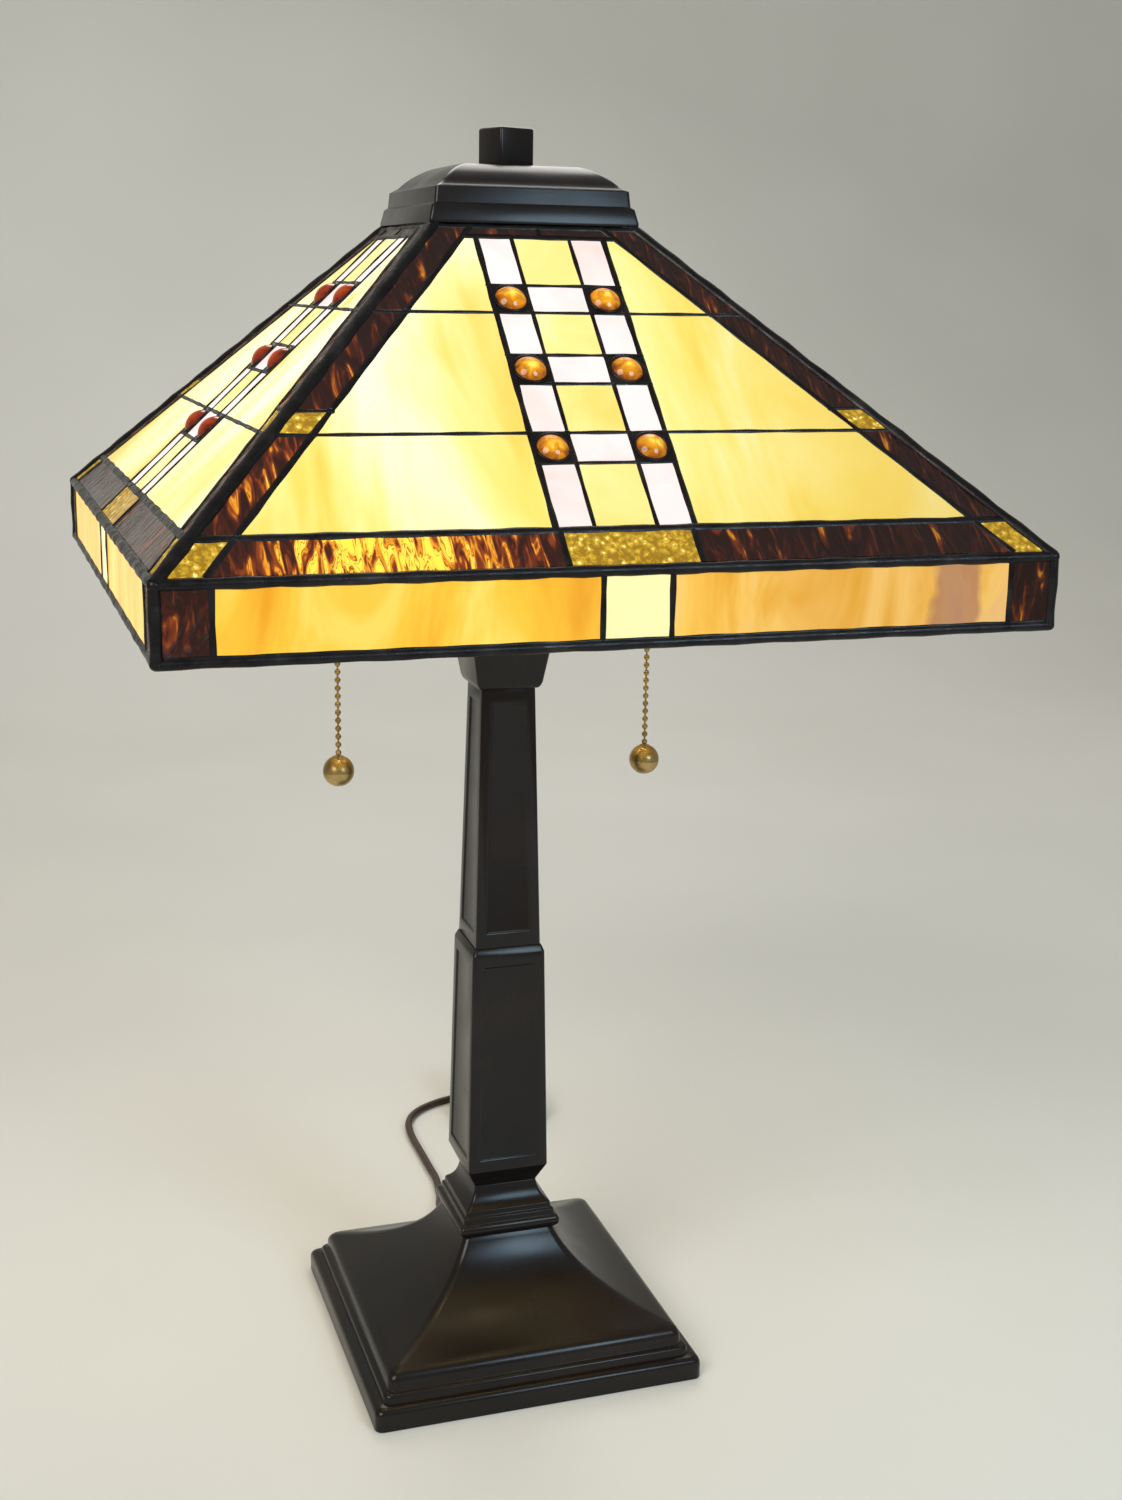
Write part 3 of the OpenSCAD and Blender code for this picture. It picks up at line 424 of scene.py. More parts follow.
# %% Strain relief
half_base, exit_high = 90.5, 7
rib_count, rib_pitch, rib_taper = 5, 4.1, 0.34
relief_rings = [(4.1, -9), (4.1, -0.2), (6.2, 0), (6.2, 1.9), (5.8, 2.4), (5.0, 2.6)]
for rib in range(rib_count):
    wide, at = 4.9 - rib_taper * rib, 3.2 + rib_pitch * rib
    relief_rings += [(wide, at), (wide - 0.15, at + 2.6), (wide - 0.8, at + 2.9), (wide - 0.85, at + 3.8)]
relief_rings += [(3.25, 23.9), (3.2, 25.2), (2.7, 25.5)]
cord_relief = smooth(ringed_cone(relief_rings, shift(0, half_base, exit_high) @ turn(-90, "X"), 28))
fit(cord_relief, "cord_relief", "stand", "cord_rubber", rubber, "cord_bushing")
print("the relief has", len(relief_rings), "rings")

# %% Strap
strap_size, strap_middle = (16.6 * mm, 7 * mm, 15.6 * mm), (0, 0, 8.15 * mm)
clear_bench()
bpy.ops.mesh.primitive_cube_add(size=1, location=strap_middle, scale=strap_size)
strap = fix_place()
round_edges(strap, 2.4, 4, 80)
pick_faces(strap, lambda centre, normal: abs(normal.y) > 0.9)
bpy.ops.mesh.delete(type="FACE")
bpy.ops.object.mode_set(mode="OBJECT")
strap.data.transform(shift(*coil_middle, 0) @ turn(-40, "Z") @ shift(26, 0, 0))
use_modifier(strap, "SOLIDIFY", thickness=0.6 * mm, offset=0)
fit(smooth(strap), "cord_strap", "stand", "cord_rubber", rubber)

# %% Cord, fitted
fit(power_cord, "power_cord", "stand", "cord_rubber", rubber, "power_cord_run", "power_cord_coil")

# %% [markdown]
# ## Cast and painted metal
# The column, the base and the cap are zinc castings under a dark bronze
# paint. The paint is nearly black, with a warm brown where it wears thin and
# a satin gloss that changes a little over the surface. A fine bump gives it
# the skin of a casting.

# %% Bronze finish
bronze, shader = new_finish("dark bronze paint", (0.01, 0.007, 0.006), 0.24, Specular_IOR_Level=0.3)
bronze_at = stretched(bronze)
vary_colour(bronze, shader, noise(bronze, bronze_at, 12, 3, 0.5),
            [(0.3, (0.006, 0.0048, 0.0048)), (0.55, (0.0105, 0.007, 0.0058)),
             (0.75, (0.019, 0.0115, 0.0085))])
vary_gloss(bronze, shader, noise(bronze, bronze_at, 40, 2), 0.2, 0.28)
bump(bronze, shader, noise(bronze, bronze_at, 500, 2, 0.5), 0.05, 0.0002)

# %% [markdown]
# ## The base and the column
# A square moulding has the same outline on all four sides. It could be a
# lathe shape with four steps, but extruding a square up through its outline,
# and resizing it at every step, keeps the sides flat and the widths exact.
# Then the four corners and all the small steps are rounded with a bevel, as
# the casting's mould is.

# %% Square mouldings
def square_moulding(outline, corner, soften=0.3):
    """Extrudes a square up through an outline of (half width, height) and rounds its corners."""
    clear_bench()
    half, height = outline[0]
    bpy.ops.mesh.primitive_plane_add(size=2 * half * mm, location=(0, 0, height * mm))
    piece = fix_place()
    extrude_through(outline)
    pick_edges(piece, lambda a, b: a.x * b.x > 0 and a.y * b.y > 0)
    bpy.ops.mesh.bevel(offset=corner * mm, offset_type="OFFSET", segments=4, affect="EDGES")
    bpy.ops.object.mode_set(mode="OBJECT")
    if soften:
        round_edges(piece, soften)
    return piece


def bend(a, b, c, steps):
    """Points of a curve from a to c that leans towards b."""
    return [tuple((1 - t) ** 2 * p + 2 * t * (1 - t) * q + t * t * r for p, q, r in zip(a, b, c))
            for t in [i / steps for i in range(steps + 1)]]


def fit_casting(piece, name, node, body="stand"):
    fit(smooth(piece), name, body, "bronze", bronze, node)
    print(name, "has", len(piece.data.polygons), "faces")

# %% Base
base_h, plinth_h, foot_half, neck_half = 68, 27, 26, 17.5
inner_half = half_base - 12.5
cove_middle = ((inner_half + foot_half) / 2 - 15.5, plinth_h + (base_h - plinth_h) / 3)
base_under = [(20, 62), (24, 61), (40, 42), (60, 28), (half_base - 19, 21), (half_base - 10.5, 14),
              (half_base - 10.5, 0.02)]
base_side = [(half_base - 0.2, 0.02), (half_base, 0.4), (half_base, 8)]
base_side += bend((half_base, 8), (half_base, 12.5), (half_base - 4.5, 12.5), 6)[1:]
base_side += [(half_base - 5.5, 12.8), (half_base - 5.7, 15.5)]
base_side += bend((half_base - 5.7, 15.5), (half_base - 6, 17), (half_base - 7.5, 17.2), 4)[1:]
base_side += [(half_base - 8.6, 17.6), (half_base - 8.8, 21.5)]
base_side += bend((half_base - 8.8, 21.5), (half_base - 9.2, 25.4), (inner_half, plinth_h), 6)[1:]
base_side += bend((inner_half, plinth_h), cove_middle, (foot_half - 0.4, base_h), 22)[1:]
fit_casting(square_moulding(base_under + base_side, corner=3.6), "base_casting", "base_shell")

# %% Foot
foot_z, lower_z, upper_z, capital_z, cluster_z = 68, 94, 232, 373, 402
bead_low, bead_mid = (foot_half + 1.8, foot_z + 2), (foot_half + 3.2, foot_z + 4.4)
bead_high = (foot_half + 1.6, foot_z + 6.8)
cove_low = (foot_half - 3.2, foot_z + 15.2)
cove_mid = (neck_half + 0.12 * (foot_half - neck_half), foot_z + 18.7)
foot_outline = [(foot_half, foot_z)] + bend(bead_low, bead_mid, bead_high, 5)
foot_outline += [(foot_half, foot_z + 7.4), (foot_half - 0.3, foot_z + 10.5),
                 (foot_half - 1.6, foot_z + 11.4), (foot_half - 1.9, foot_z + 14.2), cove_low]
foot_outline += bend(cove_low, cove_mid, (neck_half, lower_z), 8)[1:]
fit_casting(square_moulding(foot_outline, corner=1.6), "foot_casting", "column_foot")

# %% Columns and capital
def panelled(piece, z_0, z_1, edge):
    """Lets a shallow panel into each long side, with a narrow rounded step round it."""
    long_side = (z_1 - z_0) * mm
    middle_high = (z_0 + z_1) / 2 * mm
    for side in range(4):
        out = turn(90 * side, "Z") @ Vector((0, -1, 0))
        pick_faces(piece, lambda centre, normal:
                   normal.dot(out) > 0.995 and (z_0 + 20) * mm < centre.z < (z_1 - 20) * mm)
        bpy.ops.mesh.inset(thickness=4 * mm)
        resize(1, 1, 1 - 2 * edge * mm / long_side, (0, 0, middle_high))
        bpy.ops.mesh.inset(thickness=0.7 * mm, depth=-0.5 * mm)
        bpy.ops.mesh.inset(thickness=0.3 * mm, depth=-0.4 * mm)
        bpy.ops.object.mode_set(mode="OBJECT")
    round_edges(piece, 0.3, sharper_than=24)


shoulder_z, waist_z = lower_z + 10.5, upper_z - 3.6
lower = square_moulding([(17.5, lower_z), (22.5, shoulder_z), (20, waist_z), (18.5, upper_z)], 1.5, soften=0)
panelled(lower, shoulder_z, waist_z, 2.2)
fit_casting(lower, "lower_column_casting", "lower_column")
upper = square_moulding([(18, upper_z), (14.5, capital_z)], 1.3, soften=0)
panelled(upper, upper_z, capital_z, 4)
fit_casting(upper, "upper_column_casting", "upper_column")
capital_outline = [(14.8, capital_z)] + bend((16, capital_z), (17.6, capital_z + 1.6), (18, capital_z + 5), 6)
capital_outline += [(21.4, cluster_z - 4), (22, cluster_z - 3), (22, cluster_z)]
fit_casting(square_moulding(capital_outline, corner=1.4), "capital_casting", "column_capital")

# %% [markdown]
# ## The cap and the finial
# The cap is one square casting, hollow below. Its outline goes down the
# inside, round the lower edge and up the outside, so that one run of
# extrusions closes the whole wall. The finial is a plain block with softened
# edges, which stands turned, as a screwed finial does.

# %% Cap and finial
cap_inside = [(5, 630), (26, 630), (36, 627.5), (40.5, 622), (42.5, 620), (45, 613), (47.6, 605.02)]
cap_outside = [(51.8, 605.02), (52, 605.3), (52, 606.6), (50.4, 613), (48.8, 614.2), (48.1, 621.4),
               (46.4, 622.4)]
cap_outside += bend((44.6, 623.4), (38.6, 630), (30, 633), 9)
cap_outside += [(5, 633)]
fit_casting(square_moulding(cap_inside + cap_outside, corner=1.5), "cap_casting", "shade_cap", "shade")
finial_outline = [(9.4, 633.05), (9.4, 633.8), (10, 634.2), (10, 651), (9.2, 651.8), (8, 652)]
finial = square_moulding(finial_outline, corner=1.1, soften=0.35)
finial.data.transform(turn(18, "Z"))
fit_casting(finial, "finial_block", "finial", "finial")

# %% [markdown]
# ## The solder net
# Each pane's edge is wrapped in copper foil and the seams are filled with
# solder, then blackened. A seam is a rounded run that stands a little above
# the glass on both faces and swells and thins by hand. The net of one side is
# laid out flat on the bench, x to the side and y down the slope, and its
# copies are turned on to the four sides of the shade.

# %% Solder finish
solder, shader = new_finish("blackened solder", (0.014, 0.013, 0.013), 0.34, Metallic=0.7,
                            Specular_IOR_Level=0.5)
solder_at = stretched(solder)
vary_colour(solder, shader, noise(solder, solder_at, 70, 3),
            [(0.35, (0.009, 0.008, 0.008)), (0.6, (0.02, 0.018, 0.018)), (0.78, (0.055, 0.05, 0.047))])
vary_gloss(solder, shader, noise(solder, solder_at, 160, 2), 0.24, 0.5)
bump(solder, shader, noise(solder, solder_at, 230, 3, 0.6), 0.35, 0.0006)

# %% Sides of the shade
top_half, rim_half, seat_z, knee_z, rim_z = 48.5, 200, 605, 462, 428
slope_a = math.degrees(math.atan2(seat_z - knee_z, rim_half - top_half))
slope_long = math.hypot(seat_z - knee_z, rim_half - top_half)
lean = (rim_half - top_half) / slope_long
low_s = slope_long - 2
band_s = low_s - 19.3
rows = [10.5, 42.5, 59.9, 86.4, 103.8, 132.8, 150.2, band_s]
side_names = ["front", "right", "back", "left"]


def turned(side):
    return turn(90 * side, "Z")


def slope_place(side):
    return turned(side) @ shift(0, -top_half, seat_z) @ turn(slope_a, "X")


def skirt_place(side):
    return turned(side) @ shift(0, -rim_half, knee_z) @ turn(90, "X")

# %% One run of solder
run_count = 0


def solder_run(start, end, wide, high, every=8, steps=10):
    """A rounded run between two points, of a half width and a half height, with a hand-made swell."""
    global run_count
    run_count += 1
    start, end = Vector((*start, 0)[:3]), Vector((*end, 0)[:3])
    way = (end - start).normalized()
    over = Vector((0, 0, 1)) if abs(way.z) < 0.9 else Vector((0, 1, 0))
    across = over.cross(way).normalized()
    over = way.cross(across)
    columns = (across * wide).to_4d(), (over * high).to_4d(), way.to_4d(), (start * mm).to_4d()
    place = Matrix(columns).transposed()
    place[3] = (0, 0, 0, 1)
    long = (end - start).length
    cuts = max(2, round(long / every))
    swells = [1 + 0.07 * math.sin(1.9 * k + 2.3 * run_count) + 0.04 * math.sin(5.1 * k + run_count)
              for k in range(cuts + 1)]
    return ringed_cone([(swell, long * k / cuts) for k, swell in enumerate(swells)], place, steps)


def solder_blob(at, radius, high):
    clear_bench()
    bpy.ops.mesh.primitive_ico_sphere_add(subdivisions=2, radius=mm, location=Vector((*at, 0)[:3]) * mm,
                                          scale=(radius, radius, high))
    return fix_place()

# %% [markdown]
# Six plates on each slope hold the jewels. A disc is inset on both faces and
# bridged through, which leaves a ring. Four cuts bring the ring to the square
# of its cell, and a thin bead of solder lies round the hole.

# %% Plate that holds a jewel
disc_radius, hole_radius, plate_thick = 12.6, 7.5, 3.6
plate_half_x, plate_half_y = 8.7, 8.75
clear_bench()
bpy.ops.mesh.primitive_cylinder_add(vertices=40, radius=disc_radius * mm, depth=plate_thick * mm)
jewel_plate = fix_place()
pick_faces(jewel_plate, lambda centre, normal: abs(normal.z) > 0.9)
bpy.ops.mesh.inset(thickness=(disc_radius - hole_radius) * mm)
bpy.ops.mesh.bridge_edge_loops()
for out in ((1, 0, 0), (-1, 0, 0), (0, 1, 0), (0, -1, 0)):
    reach = plate_half_x if out[0] else plate_half_y
    bpy.ops.mesh.select_all(action="SELECT")
    bpy.ops.mesh.bisect(plane_co=Vector(out) * reach * mm, plane_no=out, use_fill=True, clear_outer=True)
bpy.ops.mesh.select_all(action="SELECT")
bpy.ops.mesh.normals_make_consistent(inside=False)
bpy.ops.object.mode_set(mode="OBJECT")
clear_bench()
bpy.ops.mesh.primitive_torus_add(major_radius=7.9 * mm, minor_radius=0.75 * mm, major_segments=36,
                                 minor_segments=8, location=(0, 0, 1.7 * mm))
jewel_plate = join([jewel_plate, fix_place()], "jewel_plate")
print("the jewel plate has", len(jewel_plate.data.polygons), "faces")

# %% Seams of one sloping side
inner, band, gold_half = 14.2, 31.5, 30
accent_s = rows[5] - 13.5
thin, thick, bottom_thick = (1.55, 1.95), (2.15, 2.05), (2.7, 2.1)


def border_at(s):
    return top_half - 18.5 + lean * s


def ridge_at(s):
    return top_half + lean * s


jewel_cells = [((inner + band) / 2, (rows[i] + rows[i + 1]) / 2) for i in (1, 3, 5)]
net, seams = [], []
for sign in (-1, 1):
    seams += [((sign * border_at(3), -3), (sign * border_at(low_s), -low_s), thick),
              ((sign * band, -rows[0]), (sign * band, -band_s), thick),
              ((sign * inner, -rows[0]), (sign * inner, -band_s), thin),
              ((sign * gold_half, -band_s), (sign * gold_half, -low_s), thick)]
    for s, start in [(rows[2], band), (rows[5], band), (accent_s, border_at(accent_s))]:
        seams.append(((sign * start, -s), (sign * (ridge_at(s) - 1), -s), thin))
    net += [twin_of(jewel_plate, "plate", shift(sign * x, -s, 0)) for x, s in jewel_cells]
seams += [((-band, -s), (band, -s), thin) for s in rows[1:7]]
seams += [((-border_at(10.5), -10.5), (border_at(10.5), -10.5), thick),
          ((-ridge_at(band_s), -band_s), (ridge_at(band_s), -band_s), bottom_thick),
          ((-ridge_at(3), -3.6), (ridge_at(3), -3.6), thick), ((0, -3), (0, -10.5), thin)]
print("one side has", len(seams), "seams")

# %% The net of one sloping side
net += [solder_run(start, end, wide, high) for start, end, (wide, high) in seams]
net += [solder_blob((x, -s), 2.35, 2.15) for s in rows for x in (-band, -inner, inner, band)]
net += [solder_blob((sign * border_at(s), -s), 2.6, 2.2)
        for s in (rows[2], rows[5], accent_s, band_s) for sign in (-1, 1)]
slope_net = join(net, "slope_net")
bpy.data.objects.remove(jewel_plate)
print("its net has", len(slope_net.data.polygons), "faces")

# %% The net of one skirt side
net = [solder_run((x, -1), (x, -31), 2.0, 2.05) for x in (-178, -15.5, 15.5, 178)]
net.append(solder_run((-197, -29.4), (197, -29.4), 1.5, 1.9))
skirt_net = join(net, "skirt_net")
for side, name in enumerate(side_names):
    upper_net = twin_of(slope_net, name + "_slope_solder", slope_place(side))
    lower_net = twin_of(skirt_net, name + "_skirt_solder", skirt_place(side))
    fit(smooth(upper_net, 50), name + "_slope_solder", "shade", "lead", solder, name + "_slope_lead")
    fit(smooth(lower_net, 50), name + "_skirt_solder", "shade", "lead", solder, name + "_skirt_lead")
for bench_piece in (slope_net, skirt_net):
    bpy.data.objects.remove(bench_piece)

# %% [markdown]
# The four ridges, the knee and the corners are heavier runs, and a brass wire
# under solder stiffens the rim. One corner's set is made and turned round.

# %% Ridges, knee and rim
rim_mid = rim_z + 2.6
top_corner, knee_corner, rim_corner = (48.5, -48.5, 604.4), (200, -200, knee_z), (200, -200, rim_mid)
corner_set = [solder_run(top_corner, knee_corner, 3.5, 3.0, 7, 14),
              solder_run(rim_corner, knee_corner, 2.7, 2.7, 6, 12),
              solder_run((-200, -200, knee_z), knee_corner, 2.75, 2.6, 7, 12),
              solder_blob(knee_corner, 2.95, 2.95)]
rim_set = [solder_run((-200, -200, rim_mid), rim_corner, 2.45, 2.4, 9, 14),
           solder_blob(rim_corner, 2.95, 2.55)]
ridge_run, rim_run = join(corner_set, "ridges"), join(rim_set, "rim")
ridges = join([ridge_run] + [twin_of(ridge_run, "ridge", turned(side)) for side in (1, 2, 3)], "ridge_runs")
rim = join([rim_run] + [twin_of(rim_run, "rim", turned(side)) for side in (1, 2, 3)], "rim_run")
fit(smooth(ridges, 50), "ridge_runs", "shade", "lead", solder, "ridge_solder")
fit(smooth(rim, 50), "rim_run", "shade", "lead", solder, "rim_bead")
print("the rim is", round(rim.dimensions.x, 4), "m wide")

# %% [markdown]
# ## Glass
# The panes are cut from rolled sheets, and the lamp is lit. A pane that lets
# light through could be made with a translucent shader and a lamp behind it,
# but that grains, and a lit pane mostly shows its own colour. So the sheet's
# pattern colours a glow, which is strongest near the brighter, left bulb, and
# the same pattern, darker, is the colour that room light brings out. The grain
# of a sheet runs down every pane. Plain Object coordinates would turn it on
# two of the four sides, so `down_the_pane` makes coordinates that run across
# the pane and down it on all of them.

# %% Glass tools
left_bulb = (-0.075, -0.03, 0.51)


def light(red, green, blue):
    """A colour of 0 to 255 as the shader's own linear values."""
    return tuple((v / 255 / 12.92) if v < 11 else ((v / 255 + 0.055) / 1.055) ** 2.4
                 for v in (red, green, blue))


def new_glass(name, roughness):
    return new_finish(name, (0.5, 0.4, 0.2), roughness, Specular_IOR_Level=0.5)


def times(glass, colour, amount):
    inputs = {0: colour, 1: amount}
    return add_node(glass, "ShaderNodeVectorMath", inputs, operation="MULTIPLY").outputs["Vector"]


def near_bulbs(glass, bright, dim):
    """How strongly a point glows: by its distance from the left bulb, which is the brighter one."""
    return spread(glass, away_from(glass, left_bulb), 0.07, 0.27, bright, dim)


def down_the_pane(glass, stretch):
    """Coordinates across a pane and, stretched, down it. The middle one is 1 on the left and right sides."""
    here = add_node(glass, "ShaderNodeSeparateXYZ", {"Vector": object_at(glass)}).outputs
    on_flank = maths(glass, "GREATER_THAN", *[maths(glass, "ABSOLUTE", here[axis]) for axis in "XY"])
    sides = {0: on_flank, 2: here["X"], 3: here["Y"]}
    across = add_node(glass, "ShaderNodeMix", sides, data_type="FLOAT").outputs[0]
    down = maths(glass, "MULTIPLY", here["Z"], stretch)
    return add_node(glass, "ShaderNodeCombineXYZ", {"X": across, "Y": on_flank, "Z": down}).outputs["Vector"]


def lit(glass, shader, colour, glow, unlit=0.35):
    """Colours the glow, and the glass in room light, by one pattern."""
    plug(glass, times(glass, colour, (unlit, unlit, unlit)), shader.inputs["Base Color"])
    plug(glass, times(glass, colour, glow), shader.inputs["Emission Color"])
    shader.inputs["Emission Strength"].default_value = 1.0

# %% [markdown]
# The large panes are opal: honey streaks in a milky sheet. Near the bulb the
# pale streaks are painted whiter, a painted hot spot of light, and towards the
# right the sheet is painted a warmer amber, painted shade where less light comes
# through. The tiles of the band are a pinkish white and a cream.

# %% Opal sheet
opal, shader = new_glass("streaky opal glass", 0.16)
streaks = noise(opal, down_the_pane(opal, 0.42), 17, 4, 0.55, 0.8)
honey = ramp(opal, streaks, [(0.32, light(243, 200, 78)), (0.42, light(246, 220, 102)),
                             (0.53, light(249, 234, 140)), (0.66, light(253, 247, 192))])
# painted hot spot: near the left bulb the pale streaks are mixed towards white
lit_white_streaks = maths(opal, "MULTIPLY", near_bulbs(opal, 0.95, -1.5), spread(opal, streaks, 0.36, 0.6, 0.1, 0.95),
              use_clamp=True)
sheet = mixed(opal, lit_white_streaks, honey, light(255, 253, 226))
# painted shade: towards the right the sheet is mixed towards a warmer amber
right_shade_amount = spread(opal, along(opal, "X"), 0.02, 0.13, 0.0, 0.42)
opal_with_right_shade = mixed(opal, right_shade_amount, sheet, light(243, 198, 88))
lit(opal, shader, opal_with_right_shade, near_bulbs(opal, 1.02, 0.7), 0.3)
bump(opal, shader, noise(opal, stretched(opal), 45, 2), 0.12, 0.0015)

# %% White and cream sheets
white, shader = new_glass("pinkish white glass", 0.14)
veil = noise(white, stretched(white), 26, 3, 0.5, 0.6)
white_colour = ramp(white, veil, [(0.3, light(243, 214, 206)), (0.6, light(250, 232, 228))])
lit(white, shader, white_colour, near_bulbs(white, 1.0, 0.78), 0.3)
bump(white, shader, noise(white, stretched(white), 60, 2), 0.1, 0.001)

cream, shader = new_glass("cream glass", 0.14)
veil = noise(cream, stretched(cream, (1, 1, 0.5)), 20, 3, 0.5, 0.6)
cream_colour = ramp(cream, veil, [(0.3, light(243, 214, 108)), (0.52, light(247, 230, 142)),
                                  (0.72, light(252, 244, 186))])
on_skirt = spread(cream, along(cream, "Z"), 0.462, 0.472, 0.7, 0.0)
paler = mixed(cream, on_skirt, cream_colour, light(254, 246, 192))
lit(cream, shader, paler, near_bulbs(cream, 1.0, 0.78), 0.3)
bump(cream, shader, noise(cream, stretched(cream), 60, 2), 0.1, 0.001)

# %% [markdown]
# The border is brown ripple glass. It is dark, and only where a fold is thin
# and the light is near does it burn through in amber flames with dark edges.
# The ramp over the folds has those edges in it, and a painted pool of light
# round one spot, low on the front near the left bulb, lets more of the ramp's
# bright end show there and makes the glow stronger.

# %% Ripple sheet
# painted pool of light: the folds are lifted and glow brighter round this spot
painted_light_spot = (-0.103, -0.19, 0.472)
brown, shader = new_glass("brown ripple glass", 0.1)
folds = noise(brown, down_the_pane(brown, 0.32), 210, 2, 0.5, 1.1)
away = away_from(brown, painted_light_spot)
fold_light = maths(brown, "ADD", folds, spread(brown, away, 0.02, 0.08, 0.31, 0.0))
brown_colour = ramp(brown, fold_light, [
    (0.48, light(38, 11, 5)), (0.6, light(66, 23, 8)), (0.69, light(130, 56, 13)),
    (0.76, light(230, 150, 32)), (0.785, light(116, 52, 8)), (0.81, light(252, 196, 56)),
    (0.86, light(255, 212, 76)), (0.88, light(140, 70, 10)), (0.9, light(255, 208, 66))])
lit(brown, shader, brown_colour, spread(brown, away, 0.05, 0.2, 1.1, 0.3), 0.42)
bump(brown, shader, folds, 0.6, 0.0016)

# %% [markdown]
# The small gold squares are hammered: round dents, each with a painted glint,
# a bright spot painted in its middle. Cells give the dents, and a wandering noise
# makes them uneven. The skirt's long panes are mottled amber, with painted shade
# that makes them dusky towards the right, where less light comes through, and
# with one dark eye.

# %% Hammered and mottled sheets
gold, shader = new_glass("hammered gold glass", 0.09)
wander = noise(gold, stretched(gold), 330, 2, 0.5, 1.4)
cells = {"Vector": stretched(gold), "Scale": 300.0}
dents = add_node(gold, "ShaderNodeTexVoronoi", cells).outputs["Distance"]
# painted glints: the middle of every dent is a bright highlight
dents_and_glints = maths(gold, "ADD", dents, spread(gold, wander, 0.35, 0.65, 0.3, -0.2))
gold_colour = ramp(gold, dents_and_glints, [(0.04, light(255, 240, 160)), (0.15, light(218, 180, 60)),
                                   (0.38, light(190, 152, 34)), (0.75, light(148, 110, 18))])
lit(gold, shader, gold_colour, near_bulbs(gold, 1.0, 0.8), 0.42)
bump(gold, shader, dents, 0.7, 0.0012)

mottled, shader = new_glass("mottled amber glass", 0.16)
drift = noise(mottled, down_the_pane(mottled, 0.35), 24, 4, 0.6, 0.7)
amber_part = ramp(mottled, drift, [(0.3, light(226, 154, 30)), (0.5, light(241, 186, 54)),
                                   (0.7, light(250, 214, 104))])
# painted shade: a duskier ramp that takes over towards the right of the skirt
shaded_part = ramp(mottled, drift, [(0.3, light(176, 110, 48)), (0.42, light(216, 156, 54)),
                                   (0.55, light(230, 182, 96)), (0.7, light(206, 162, 128))])
x_here = along(mottled, "X")
lit_to_shaded = mixed(mottled, spread(mottled, x_here, -0.04, 0.08, 0.0, 1.0), amber_part, shaded_part)
eye_middle = spread(mottled, noise(mottled, stretched(mottled), 30, 2), 0.3, 0.7, 0.142, 0.156)
eye_away = maths(mottled, "ABSOLUTE", maths(mottled, "SUBTRACT", x_here, eye_middle))
eye = spread(mottled, eye_away, 0.009, 0.0135, 0.7, 0.0)
with_eye = mixed(mottled, eye, lit_to_shaded, light(150, 98, 84))
lit(mottled, shader, with_eye, near_bulbs(mottled, 1.02, 0.85), 0.35)
bump(mottled, shader, noise(mottled, stretched(mottled), 40, 2), 0.12, 0.0015)

# %% [markdown]
# A jewel is a pressed drop of amber glass: a round dome with a flat back,
# dark at its rim and bright in the middle, where the light comes straight
# through. A sphere is cut flat, and the ramp runs over its own latitude in
# the UV map, so that every copy has the same rim. On the left and right
# sides the drops are painted darker and redder, painted shade for the dimmer
# light that comes through them there.

# %% Jewel glass
jewel_glass, shader = new_glass("amber jewel glass", 0.05)
own_map = add_node(jewel_glass, "ShaderNodeUVMap", uv_map="UVMap").outputs["UV"]
latitude = add_node(jewel_glass, "ShaderNodeSeparateXYZ", {"Vector": own_map}).outputs["Y"]
swirl = noise(jewel_glass, stretched(jewel_glass), 150, 2, 0.5, 1.2)
depth = maths(jewel_glass, "ADD", latitude, spread(jewel_glass, swirl, 0.3, 0.7, -0.09, 0.09))
amber = ramp(jewel_glass, depth, [(0.62, light(58, 20, 3)), (0.71, light(140, 74, 8)),
                                  (0.8, light(190, 116, 12)), (0.9, light(226, 154, 22)),
                                  (0.99, light(255, 216, 84))])
pane_at = {"Vector": down_the_pane(jewel_glass, 1.0)}
on_flank = add_node(jewel_glass, "ShaderNodeSeparateXYZ", pane_at).outputs["Y"]
# painted shade: the drops on the left and right sides are darkened towards a deep red
flank_shade = mixed(jewel_glass, on_flank, amber, (0.42, 0.12, 0.1), "MULTIPLY")
lit(jewel_glass, shader, flank_shade, near_bulbs(jewel_glass, 1.0, 0.7), 0.4)

# %% Jewels
drop_radius, drop_sunk, drop_back = 8.98, 3.38, -1.4
clear_bench()
bpy.ops.mesh.primitive_uv_sphere_add(segments=28, ring_count=18, radius=drop_radius * mm,
                                     location=(0, 0, -drop_sunk * mm))
drop = fix_place()
bpy.ops.object.mode_set(mode="EDIT")
bpy.ops.mesh.select_all(action="SELECT")
bpy.ops.mesh.bisect(plane_co=(0, 0, drop_back * mm), plane_no=(0, 0, -1), use_fill=True, clear_outer=True)
bpy.ops.object.mode_set(mode="OBJECT")
drops = [twin_of(drop, "drop", slope_place(side) @ shift(sign * x, -s, 0))
         for side in range(4) for x, s in jewel_cells for sign in (-1, 1)]
bpy.data.objects.remove(drop)
jewels = smooth(join(drops, "jewels"), 40)
fit(jewels, "amber_drops", "shade", "jewel_glass", jewel_glass, "amber_jewels")
print("there are", len(drops), "jewels")

# %% [markdown]
# ## Brass, steel and the parts inside
# The sockets, chains and the shade's plate are antique brass: warm, darker in
# the hollows, with a soft gloss. Their CAD shapes are right, so they keep
# their meshes and only get a finish, as the weight, felt and pipes do.

